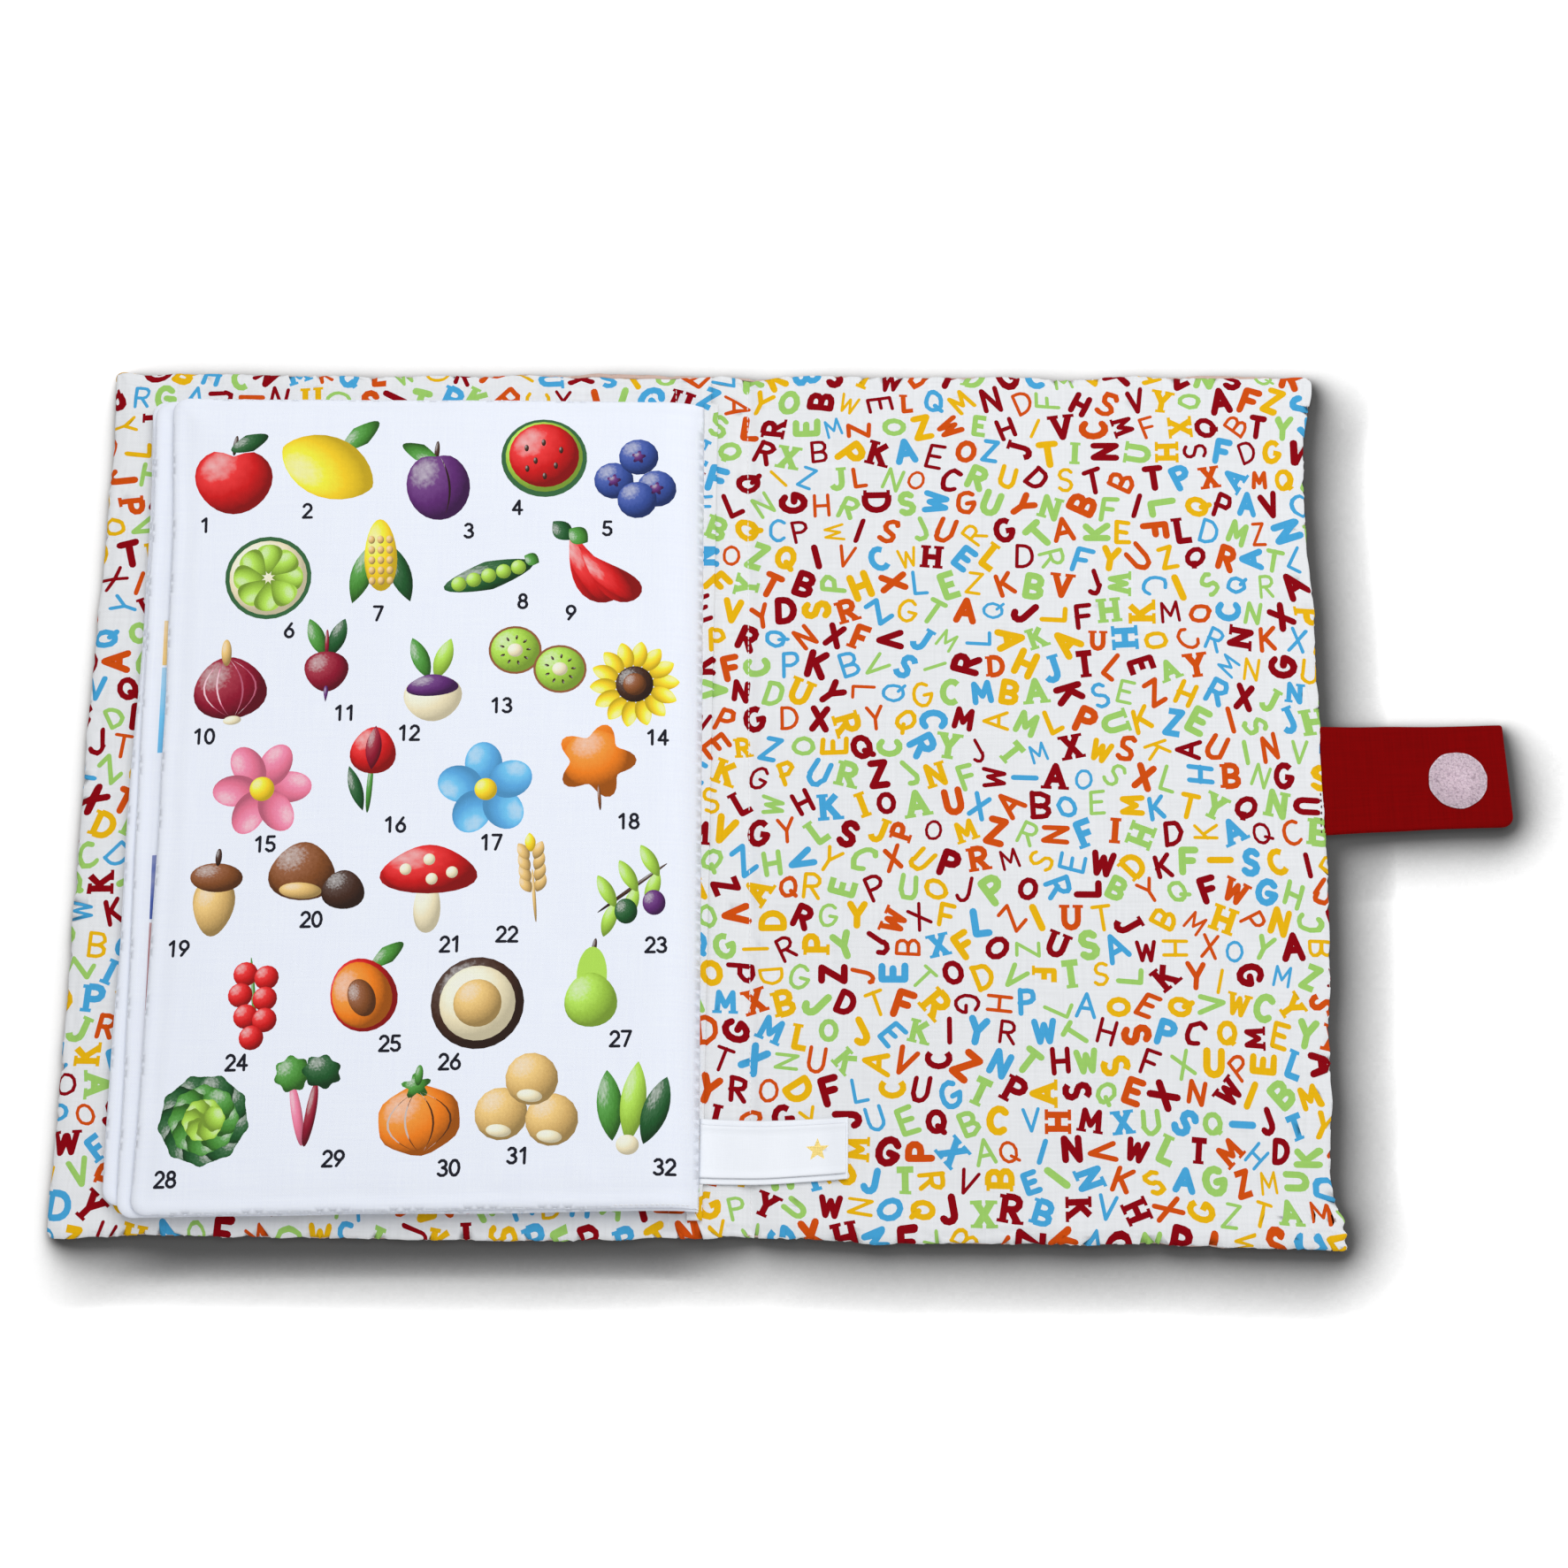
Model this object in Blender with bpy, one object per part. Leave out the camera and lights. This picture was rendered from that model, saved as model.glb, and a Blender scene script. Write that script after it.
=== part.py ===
"""A cloth picture book for a small child, lying open on a table.

Two padded cover panels and a padded spine are bagged out of a printed cotton and a lining,
and two stitched creases make the hinges between them. Four padded leaves are sewn to the
spine by a binding strip and lie turned to the left. A red closing tab on the back cover wraps
round the fore-edge and grips a fastener disc on the front cover. Metres, +Z up, +X from the
front cover to the back cover, origin under the middle of the spine on the table.
"""
from math import asin, cos, degrees, radians, sin

import bmesh
import bpy
from mathutils import Matrix, Vector

# Cover
PANEL_WIDTH = 0.2000
SPINE_WIDTH = 0.0260
COVER_HEIGHT = 0.3090
COVER_THICKNESS = 0.0046
COVER_CLOTH = 0.0005
COVER_EDGE_FALL = 0.0140
COVER_CORNER_PULL = 0.0016
FORE_EDGE_DRAW = 0.0025
HEAD_EDGE_DRAW = 0.0010
CREASE_REACH = 0.0080

# Leaves
LEAF_COUNT = 4
LEAF_MARGIN = 0.0100
LEAF_DROP = 0.0025
TOP_LEAF_WIDTH = 0.1830
LEAF_STEP = 0.0048
LEAF_STEP_SHARES = (1.8, 2.0, 1.0, 0.0)
LEAF_THICKNESS = 0.0024
LEAF_CLOTH = 0.0004
LEAF_EDGE_FALL = 0.0080
LEAF_CORNER_PULL = 0.0012
LEAF_EDGE_DRAW = 0.0012
LEAF_ROOT_OFFSET = 0.0031

# Binding strip
BINDING_WIDTH = 0.0050
BINDING_CLOTH = 0.0006

# Ribbon labels
LABEL_FOOT_MARGIN = 0.0230
LABEL_RIBBON = 0.0003
CARE_LABEL_WIDTH = 0.0210
BRAND_LABEL_WIDTH = 0.0170
LABEL_REACH = 0.0500
CARE_LABEL_EXTRA = 0.0012

# Closing tab and fastener discs
TAB_LENGTH = 0.0620
TAB_WIDTH = 0.0380
TAB_CENTRE_Y = 0.0055
TAB_THICKNESS = 0.0016
TAB_EDGE_FALL = 0.0030
TAB_CORNER_PULL = 0.0014
TAB_SEAM_SETBACK = 0.0005
TAB_RISE_DEGREES = 3.0
DISC_DIAMETER = 0.0200
DISC_THICKNESS = 0.0010
DISC_REACH = 0.0456
DISC_BEVEL = 0.0003
DISC_SIDES = 24

# Shared fits
CLEARANCE = 0.0003
CREASE_GAP = 0.0004
CREASE_TIP = 0.0003
FORE_EDGE_ROOM = 0.0009
HOOK_BED_MARGIN = 0.0020

# Shares of the lengths that they follow
RIM_SHARES = (0.0, 0.04, 0.18, 0.5, 1.0)
THIN_RIM_SHARES = (0.0, 0.08, 0.4, 1.0)
CREASE_SHARES = (0.0, 0.14, 0.45, 1.0)
TAB_RIM_SHARES = (0.0, 0.3, 1.0)
EDGE_CROWN_SHARE = 0.82
CORNER_SHARE = 0.75

HALF_COVER = COVER_THICKNESS / 2
HALF_SPINE = SPINE_WIDTH / 2
HALF_LEAF = LEAF_THICKNESS / 2
HALF_TAB = TAB_THICKNESS / 2
HALF_SEAM = CLEARANCE / 2
LEAF_PITCH = LEAF_THICKNESS + CLEARANCE
STACK_BOTTOM = COVER_THICKNESS + CLEARANCE
STACK_THICKNESS = LEAF_COUNT * LEAF_PITCH - CLEARANCE
STACK_TOP = STACK_BOTTOM + STACK_THICKNESS
STRIP_TOP = STACK_BOTTOM + BINDING_CLOTH
CARE_LABEL_Z = STACK_BOTTOM
BRAND_LABEL_Z = CARE_LABEL_Z + LABEL_RIBBON + CLEARANCE
LABEL_TOP = BRAND_LABEL_Z + LABEL_RIBBON

LEAF_HEIGHT = COVER_HEIGHT - 2 * LEAF_MARGIN
LEAF_FOOT_Y = -LEAF_DROP - LEAF_HEIGHT / 2
LABEL_CENTRE_Y = LEAF_FOOT_Y + LABEL_FOOT_MARGIN

# A turned leaf comes to rest on the labels, so the leaves turn about a line half way between.
TURN_AXIS = Vector((0, 0, (STACK_TOP + LABEL_TOP + CLEARANCE) / 2))

# The closing book swings the leaf block upright, centred over the spine and just clear of the strip.
BLOCK_LIFT = STRIP_TOP + CLEARANCE - LEAF_ROOT_OFFSET
BLOCK_MIDDLE = (STACK_BOTTOM + STACK_TOP) / 2
BLOCK_AXIS = Vector(((BLOCK_LIFT - BLOCK_MIDDLE) / 2, 0, (BLOCK_LIFT + BLOCK_MIDDLE) / 2))

# Each closed cover leans in by this angle until the leaves fill the fore-edge.
LEAN = asin(
    (SPINE_WIDTH - COVER_THICKNESS - STACK_THICKNESS - 2 * FORE_EDGE_ROOM) / (2 * PANEL_WIDTH)
)

FRONT_AXIS = Vector((-HALF_SPINE, 0, HALF_COVER))
BACK_AXIS = Vector((HALF_SPINE, 0, HALF_COVER))
FORE_EDGE = HALF_SPINE + PANEL_WIDTH - FORE_EDGE_DRAW
TAB_AXIS = Vector((FORE_EDGE + TAB_SEAM_SETBACK, TAB_CENTRE_Y, HALF_COVER))

# The tab's root spans the closed fore-edge and rises a little to clear the front cover's rim,
# so that its flap lies flat on the front cover.
TAB_RISE = radians(TAB_RISE_DEGREES)
TAB_ARM = TAB_AXIS.x - HALF_SPINE
FLAP_STANDOFF = HALF_COVER + DISC_THICKNESS + 2 * CLEARANCE + HALF_TAB
CLOSED_GAP = (SPINE_WIDTH - 2 * TAB_ARM * sin(LEAN)) * cos(LEAN)
TAB_ROOT_LENGTH = (FLAP_STANDOFF + CLOSED_GAP) / cos(TAB_RISE - LEAN)
FLAP_AXIS = TAB_AXIS + Vector((TAB_ROOT_LENGTH, 0, 0))
LOOP_DISC_X = FORE_EDGE + DISC_REACH
FLAP_DISC_ARM = LOOP_DISC_X - FLAP_AXIS.x

# Where the closed flap puts its disc on the front cover, measured out from the front crease.
FLAP_ACROSS = SPINE_WIDTH - TAB_ARM * sin(LEAN) - TAB_ROOT_LENGTH * cos(TAB_RISE)
FLAP_UP = TAB_ARM * cos(LEAN) + TAB_ROOT_LENGTH * sin(TAB_RISE)
HOOK_REACH = FLAP_ACROSS * sin(LEAN) + FLAP_UP * cos(LEAN) - FLAP_DISC_ARM
HOOK_BED = DISC_DIAMETER / 2 + HOOK_BED_MARGIN
HOOK_BED_DEPTH = DISC_THICKNESS + CLEARANCE


def clear_scene():
    """Removes the objects that the file opened with."""
    for thing in list(bpy.data.objects):
        bpy.data.objects.remove(thing, do_unlink=True)


def collection(name):
    """A new collection in the scene."""
    made = bpy.data.collections.new(name)
    bpy.context.scene.collection.children.link(made)
    return made


def material(name, colour, roughness, sheen=0.0):
    """A plain cloth finish."""
    made = bpy.data.materials.new(name)
    made.use_nodes = True
    shader = made.node_tree.nodes["Principled BSDF"]
    shader.inputs["Base Color"].default_value = (*colour, 1)
    shader.inputs["Roughness"].default_value = roughness
    shader.inputs["Metallic"].default_value = 0
    shader.inputs["Sheen Weight"].default_value = sheen
    made.diffuse_color = (*colour, 1)
    return made


def pivot(name, place, parent=None):
    """An empty on a joint's axis, which carries the pieces that turn there."""
    made = bpy.data.objects.new(name, None)
    made.empty_display_size = SPINE_WIDTH
    BOOK.objects.link(made)
    made.parent = parent
    made.location = place - (parent.matrix_world.translation if parent else Vector())
    bpy.context.view_layer.update()
    return made


def between(low, high, count):
    """count places spread evenly between low and high, without the ends."""
    return [low + (high - low) * (n + 1) / (count + 1) for n in range(count)]


def lines(low_falls, middle, high_falls):
    """The grid lines of a pad: its low edge, its middle places and its high edge, in order."""
    return sorted({*low_falls, *middle, *high_falls})


class Pad:
    """A flat padded form, bagged from two cloths and thin at its rims and creases.

    xs and ys are its grid lines. An edge is a rim, which rounds over to the seam, or a crease,
    which tapers to the stitched hinge line.
    """

    def __init__(self, xs, ys, half, cloth, rim_fall, creases=(), crease_fall=CREASE_REACH):
        self.xs, self.ys = xs, ys
        self.half, self.cloth, self.rim_fall = half, cloth, rim_fall
        self.creases, self.crease_fall = creases, crease_fall
        self.corner_pull = self.side_draw = self.head_draw = 0
        self.bed = None

    def rim_share(self, distance):
        """How full the pad is at this distance from a rim: a quarter ellipse."""
        left = max(0, 1 - distance / self.rim_fall)
        return (1 - left * left) ** 0.5

    def crease_share(self, distance):
        """How full the pad is at this distance from a crease's edge: a parabola from its tip."""
        left = max(0, 1 - distance / self.crease_fall)
        height = CREASE_TIP + (self.half - CREASE_TIP) * (1 - left * left)
        return (height - HALF_SEAM) / (self.half - HALF_SEAM)

    def fullness(self, x, y):
        """Height of the cloth over the middle plane, without the crown."""
        share = self.rim_share(y - self.ys[0]) * self.rim_share(self.ys[-1] - y)
        for side, distance in (("low", x - self.xs[0]), ("high", self.xs[-1] - x)):
            fall = self.crease_share if side in self.creases else self.rim_share
            share *= fall(distance)
        return HALF_SEAM + (self.half - HALF_SEAM) * share

    def crown(self, x, y):
        """Share of the full height that the upper side keeps: all of it only in the middle."""
        across = (2 * x - self.xs[0] - self.xs[-1]) / (self.xs[-1] - self.xs[0])
        along = (2 * y - self.ys[0] - self.ys[-1]) / (self.ys[-1] - self.ys[0])
        swell = (1 - across * across) * (1 - along * along)
        return EDGE_CROWN_SHARE + (1 - EDGE_CROWN_SHARE) * swell

    def lift(self, x, y, lower, flat):
        """Signed height of one outer cloth surface. A flat one lies on the table."""
        height = self.fullness(x, y)
        if not flat:
            height = HALF_SEAM + (height - HALF_SEAM) * self.crown(x, y)
        if lower and self.bed:
            height -= HOOK_BED_DEPTH * self.bed_share(x, y)
        return -height if lower else height

    def bed_share(self, x, y):
        """One over the bed of the hook disc and zero from the next grid lines outwards."""
        inside = abs(x - self.bed[0]) < 1.01 * HOOK_BED and abs(y - self.bed[1]) < 1.01 * HOOK_BED
        return 1.0 if inside else 0.0

    def plan(self, x, y, inset=0.0):
        """Place of a grid point, with rounded corners, drawn-in sides and the rims set in."""
        out_x, out_y = x, y
        width, depth = self.xs[-1] - self.xs[0], self.ys[-1] - self.ys[0]
        along = 1 - ((2 * y - self.ys[0] - self.ys[-1]) / depth) ** 2
        across = 1 - ((2 * x - self.xs[0] - self.xs[-1]) / width) ** 2
        y_gaps = ((1, y - self.ys[0]), (-1, self.ys[-1] - y))
        x_gaps = ((1, x - self.xs[0], "low"), (-1, self.xs[-1] - x, "high"))
        for inward, gap in y_gaps:
            near = max(0, 1 - gap / (depth / 2))
            out_y += inward * near * (self.head_draw * across + inset)
        for inward, gap, side in x_gaps:
            if side in self.creases:
                continue
            near = max(0, 1 - gap / (width / 2))
            out_x += inward * near * (self.side_draw * along + inset)
            for inward_y, gap_y in y_gaps:
                pull = self.corner_pull
                pull *= max(0, 1 - CORNER_SHARE * gap / self.rim_fall) ** 2
                pull *= max(0, 1 - CORNER_SHARE * gap_y / self.rim_fall) ** 2
                out_x += inward * pull
                out_y += inward_y * pull
        return out_x, out_y

    def outer_cloth(self, lower, flat=False):
        """The two faces of the upper or lower cloth, as functions of a grid point."""
        sign = -1 if lower else 1

        def outside(x, y):
            return Vector((*self.plan(x, y), self.lift(x, y, lower, flat)))

        def inside(x, y):
            height = sign * self.lift(x, y, lower, flat) - self.cloth
            return Vector((*self.plan(x, y, self.cloth), sign * max(HALF_SEAM, height)))

        return self.xs, self.ys, outside, inside

    def wadding(self, flat=False):
        """The two faces of the filling, which stops one grid line short of the seams."""

        def face(lower):
            sign = -1 if lower else 1

            def place(x, y):
                height = sign * self.lift(x, y, lower, flat and lower)
                height = max(HALF_SEAM, height - self.cloth - CLEARANCE)
                return Vector((*self.plan(x, y, self.cloth), sign * height))

            return place

        return self.xs[2:-2], self.ys[2:-2], face(False), face(True)


def slab(name, faces, finish, body, middle, mirror=False):
    """A closed body between two surfaces over one grid, carried by a joint's empty."""
    xs, ys, near, far = faces
    bm = bmesh.new()
    bmesh.ops.create_grid(bm, x_segments=len(xs) - 1, y_segments=len(ys) - 1, size=1)
    first = list(bm.verts)
    twins = bmesh.ops.extrude_face_region(bm, geom=bm.faces[:], use_keep_orig=True)
    second = [part for part in twins["geom"] if isinstance(part, bmesh.types.BMVert)]
    for verts, surface in ((first, near), (second, far)):
        for vert in verts:
            column = round((vert.co.x + 1) / 2 * (len(xs) - 1))
            row = round((vert.co.y + 1) / 2 * (len(ys) - 1))
            vert.co = surface(xs[column], ys[row]) + middle
            if mirror:
                vert.co.x = -vert.co.x
    return finish_mesh(name, bm, finish, body)


def finish_mesh(name, bm, finish, body):
    """Turns a bmesh into a named object on its body, with its origin on the body's axis."""
    bmesh.ops.recalc_face_normals(bm, faces=bm.faces)
    if bm.calc_volume(signed=True) < 0:
        bmesh.ops.reverse_faces(bm, faces=bm.faces)
    mesh = bpy.data.meshes.new(name)
    bm.to_mesh(mesh)
    bm.free()
    mesh.shade_smooth()
    mesh.set_sharp_from_angle(angle=1.0)
    mesh.materials.append(finish)
    mesh.transform(Matrix.Translation(-body.matrix_world.translation))
    made = bpy.data.objects.new(name, mesh)
    BOOK.objects.link(made)
    made.parent = body
    return made


def box(name, low, high, finish, body):
    """A flat strip between two corners."""
    bm = bmesh.new()
    bmesh.ops.create_cube(bm, size=1)
    low, high = Vector(low), Vector(high)
    bmesh.ops.scale(bm, vec=high - low, verts=bm.verts)
    bmesh.ops.translate(bm, vec=(low + high) / 2, verts=bm.verts)
    return finish_mesh(name, bm, finish, body)


def disc(name, centre, finish, body):
    """A round fastener patch with a slightly rounded edge."""
    bm = bmesh.new()
    bmesh.ops.create_cone(
        bm,
        cap_ends=True,
        segments=DISC_SIDES,
        radius1=DISC_DIAMETER / 2,
        radius2=DISC_DIAMETER / 2,
        depth=DISC_THICKNESS,
    )
    bmesh.ops.translate(bm, vec=centre, verts=bm.verts)
    rims = [edge for edge in bm.edges if abs(edge.verts[0].co.z - edge.verts[1].co.z) < DISC_BEVEL]
    bmesh.ops.bevel(bm, geom=rims, offset=DISC_BEVEL, segments=1, affect="EDGES")
    return finish_mesh(name, bm, finish, body)


def rim_lines(edge, fall, inward, shares=RIM_SHARES):
    """The grid lines of a rim or a crease, from its edge inwards."""
    return [edge + inward * fall * share for share in shares]


def cover_rows(middle):
    """Grid lines up the height of the cover, with the given places between its rims."""
    half = COVER_HEIGHT / 2
    low = rim_lines(-half, COVER_EDGE_FALL, 1)
    high = rim_lines(half, COVER_EDGE_FALL, -1)
    return lines(low, middle, high)


def cover_pad(xs, ys, creases):
    """A padded part of the cover, with its middle plane at height zero."""
    made = Pad(xs, ys, HALF_COVER, COVER_CLOTH, COVER_EDGE_FALL, creases)
    made.head_draw = HEAD_EDGE_DRAW
    return made


def panel_pad(hooked):
    """A cover panel over the back cover's place. The front one has a bed for the hook disc."""
    start = HALF_SPINE + CREASE_GAP
    end = HALF_SPINE + PANEL_WIDTH
    crease = rim_lines(start, CREASE_REACH, 1, CREASE_SHARES)
    rim = rim_lines(end, COVER_EDGE_FALL, -1)
    bed_x = HALF_SPINE + HOOK_REACH
    flat_top = COVER_HEIGHT / 2 - COVER_EDGE_FALL
    if hooked:
        bed = [bed_x - HOOK_BED, bed_x + HOOK_BED]
        xs = lines(crease, between(crease[-1], bed[0], 2) + bed, rim)
        low, high = TAB_CENTRE_Y - HOOK_BED, TAB_CENTRE_Y + HOOK_BED
        rows = between(-flat_top, low, 1) + [low, high] + between(high, flat_top, 1)
    else:
        xs = lines(crease, between(crease[-1], rim[-1], 4), rim)
        rows = between(-flat_top, flat_top, 4)
    made = cover_pad(xs, cover_rows(rows), ("low",))
    made.side_draw, made.corner_pull = FORE_EDGE_DRAW, COVER_CORNER_PULL
    if hooked:
        made.bed = (bed_x, TAB_CENTRE_Y)
    return made


def spine_pad():
    """The padded spine between the two creases."""
    half = HALF_SPINE - CREASE_GAP
    left = rim_lines(-half, CREASE_REACH, 1, CREASE_SHARES)
    right = rim_lines(half, CREASE_REACH, -1, CREASE_SHARES)
    xs = lines(left, [], right)
    flat_top = COVER_HEIGHT / 2 - COVER_EDGE_FALL
    return cover_pad(xs, cover_rows(between(-flat_top, flat_top, 4)), ("low", "high"))


def make_cover(name, pad, body, mirror=False):
    """The outer cloth, the wadding and the lining of one part of the cover."""
    middle = Vector((0, 0, HALF_COVER))
    slab(name + "_outer_cloth", pad.outer_cloth(True, flat=True), PRINTED, body, middle, mirror)
    slab(name + "_wadding", pad.wadding(flat=True), WADDING, body, middle, mirror)
    slab(name + "_lining", pad.outer_cloth(False), LINING, body, middle, mirror)


def make_leaf(number, body):
    """One leaf: its two printed pages and the thin wadding between them."""
    root = LEAF_ROOT_OFFSET
    outer = root + TOP_LEAF_WIDTH + LEAF_STEP * LEAF_STEP_SHARES[number - 1]
    half = LEAF_HEIGHT / 2
    sides = [
        rim_lines(place, LEAF_EDGE_FALL, inward, THIN_RIM_SHARES)
        for place, inward in ((root, 1), (outer, -1), (-half, 1), (half, -1))
    ]
    xs = lines(sides[0], between(sides[0][-1], sides[1][-1], 1), sides[1])
    ys = lines(sides[2], between(sides[2][-1], sides[3][-1], 1), sides[3])
    pad = Pad(xs, ys, HALF_LEAF, LEAF_CLOTH, LEAF_EDGE_FALL)
    pad.corner_pull, pad.side_draw = LEAF_CORNER_PULL, LEAF_EDGE_DRAW
    height = STACK_BOTTOM + HALF_LEAF + (number - 1) * LEAF_PITCH
    middle = Vector((0, -LEAF_DROP, height))
    name = f"leaf_{number}"
    slab(name + "_verso_cloth", pad.outer_cloth(False), PAGE, body, middle, mirror=True)
    slab(name + "_wadding", pad.wadding(), WADDING, body, middle, mirror=True)
    slab(name + "_recto_cloth", pad.outer_cloth(True), PAGE, body, middle, mirror=True)


def make_tab_part(name, start, end, creases, body):
    """The upper and lower red cloth of one part of the closing tab."""
    half = TAB_WIDTH / 2
    fall = TAB_EDGE_FALL
    sides = [
        rim_lines(place, fall, inward, TAB_RIM_SHARES)
        for place, inward in ((start, 1), (end, -1), (-half, 1), (half, -1))
    ]
    xs, ys = lines(sides[0], [], sides[1]), lines(sides[2], [], sides[3])
    pad = Pad(xs, ys, HALF_TAB, HALF_TAB - HALF_SEAM, fall, creases, fall)
    pad.corner_pull = TAB_CORNER_PULL
    middle = Vector((0, TAB_CENTRE_Y, HALF_COVER))
    slab(name + "_upper_cloth", pad.outer_cloth(False, flat=True), RED, body, middle)
    slab(name + "_lower_cloth", pad.outer_cloth(True, flat=True), RED, body, middle)


def make_label(name, width, height, end, spine, cover):
    """A ribbon label, sewn in at the binding, over the spine and over the back lining."""
    low, high = LABEL_CENTRE_Y - width / 2, LABEL_CENTRE_Y + width / 2
    root_start = BINDING_WIDTH / 2 + CLEARANCE
    root_end = HALF_SPINE - HALF_COVER
    tail_start = HALF_SPINE + LABEL_TOP - HALF_COVER + CLEARANCE
    top = height + LABEL_RIBBON
    box(name + "_root", (root_start, low, height), (root_end, high, top), RIBBON, spine)
    box(name + "_tail", (tail_start, low, height), (end, high, top), RIBBON, cover)


clear_scene()
BOOK = collection("cloth_picture_book")
PRINTED = material("printed_cotton", (0.80, 0.78, 0.76), 0.85, 0.2)
LINING = material("lining_cotton", (0.82, 0.80, 0.79), 0.85, 0.2)
PAGE = material("page_cotton", (0.83, 0.86, 0.92), 0.85, 0.2)
WADDING = material("polyester_wadding", (0.90, 0.90, 0.88), 0.95)
TAPE = material("binding_tape", (0.85, 0.85, 0.84), 0.85)
RIBBON = material("satin_ribbon", (0.88, 0.88, 0.86), 0.35, 0.4)
RED = material("red_cotton", (0.22, 0.004, 0.006), 0.85, 0.3)
LOOPS = material("loop_pile", (0.80, 0.74, 0.74), 0.95, 0.5)
HOOKS = material("hook_tape", (0.85, 0.84, 0.82), 0.6)

spine_body = pivot("spine_body", Vector())
front_body = pivot("front_cover_axis", FRONT_AXIS, spine_body)
back_body = pivot("back_cover_axis", BACK_AXIS, spine_body)
block_body = pivot("leaf_block_axis", BLOCK_AXIS, spine_body)
root_body = pivot("tab_root_axis", TAB_AXIS, back_body)
flap_body = pivot("tab_flap_axis", FLAP_AXIS, root_body)

make_cover("front", panel_pad(hooked=True), front_body, mirror=True)
make_cover("spine", spine_pad(), spine_body)
make_cover("back", panel_pad(hooked=False), back_body)

binding_half = LEAF_HEIGHT / 2
box(
    "binding_strip",
    (-BINDING_WIDTH / 2, -LEAF_DROP - binding_half, STACK_BOTTOM),
    (BINDING_WIDTH / 2, -LEAF_DROP + binding_half, STRIP_TOP),
    TAPE,
    spine_body,
)

make_leaf(1, block_body)
for leaf_number in range(2, LEAF_COUNT + 1):
    make_leaf(leaf_number, pivot(f"leaf_{leaf_number}_axis", TURN_AXIS, block_body))

brand_end = LABEL_REACH
care_end = LABEL_REACH + CARE_LABEL_EXTRA
make_label("care_label", CARE_LABEL_WIDTH, CARE_LABEL_Z, care_end, spine_body, back_body)
make_label("brand_label", BRAND_LABEL_WIDTH, BRAND_LABEL_Z, brand_end, spine_body, back_body)

root_start, root_end = TAB_AXIS.x + CREASE_GAP, FLAP_AXIS.x - CREASE_GAP
flap_start, flap_end = FLAP_AXIS.x + CREASE_GAP, FORE_EDGE + TAB_LENGTH
make_tab_part("tab_root", root_start, root_end, ("low", "high"), root_body)
make_tab_part("tab_flap", flap_start, flap_end, ("low",), flap_body)

loop_height = HALF_COVER + HALF_TAB + CLEARANCE + DISC_THICKNESS / 2
disc("tab_loop_disc", Vector((LOOP_DISC_X, TAB_CENTRE_Y, loop_height)), LOOPS, flap_body)
hook_x = -HALF_SPINE - HOOK_REACH
disc("front_hook_disc", Vector((hook_x, TAB_CENTRE_Y, DISC_THICKNESS / 2)), HOOKS, front_body)

print("lean of each closed cover, degrees:", round(degrees(LEAN), 3))
print("leaf block axis:", [round(v, 6) for v in BLOCK_AXIS])
print("leaf turning axis:", [round(v, 6) for v in TURN_AXIS])
print("tab root axis:", [round(v, 6) for v in TAB_AXIS])
print("tab flap axis:", [round(v, 6) for v in FLAP_AXIS])
print("hook disc centre:", round(hook_x, 6), round(TAB_CENTRE_Y, 6))
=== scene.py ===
"""The looks of a padded cloth picture book that lies open, with its leaves turned to the left.

The file follows the book as it is sewn: cover, binding, leaves, labels, closing tab. All sizes
are in metres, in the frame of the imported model.
"""

import random
from math import atan2, copysign, cos, exp, hypot, pi, radians, sin, tanh

import bmesh
import bpy
import numpy as np
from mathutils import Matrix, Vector, noise
from mathutils.geometry import delaunay_2d_cdt


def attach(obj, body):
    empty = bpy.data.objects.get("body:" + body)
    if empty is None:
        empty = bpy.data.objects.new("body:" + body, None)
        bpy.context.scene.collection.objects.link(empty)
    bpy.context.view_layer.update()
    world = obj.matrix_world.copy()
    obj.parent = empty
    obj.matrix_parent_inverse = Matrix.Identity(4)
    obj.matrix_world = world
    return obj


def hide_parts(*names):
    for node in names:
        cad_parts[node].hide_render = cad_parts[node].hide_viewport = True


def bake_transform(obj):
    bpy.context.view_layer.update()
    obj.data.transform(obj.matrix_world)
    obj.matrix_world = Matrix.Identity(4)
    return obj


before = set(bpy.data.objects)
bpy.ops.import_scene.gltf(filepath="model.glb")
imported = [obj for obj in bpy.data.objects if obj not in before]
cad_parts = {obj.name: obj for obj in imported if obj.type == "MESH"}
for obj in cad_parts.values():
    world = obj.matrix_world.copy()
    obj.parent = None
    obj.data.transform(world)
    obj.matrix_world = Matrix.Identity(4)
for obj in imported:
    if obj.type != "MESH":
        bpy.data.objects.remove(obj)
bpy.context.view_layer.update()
MM = 0.001

# Outer cloth of the cover. A plain dusty beige cotton, cut in one piece for both panels and the
# spine. It is bagged out with the lining, and the seam between them wanders over the rounded edge.

HALF_WIDTH, HALF_HEIGHT, HALF_COVER = 213.0 * MM, 154.5 * MM, 2.3 * MM
RIM_REACH, RIM_CLOTH = 5.2 * MM, 6.4 * MM
COVER_CLOTH, COVER_CORNER = 0.4 * MM, 3.2 * MM
FLAT_WIDTH = HALF_WIDTH - RIM_REACH + RIM_CLOTH
FLAT_HEIGHT = HALF_HEIGHT - RIM_REACH + RIM_CLOTH

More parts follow.
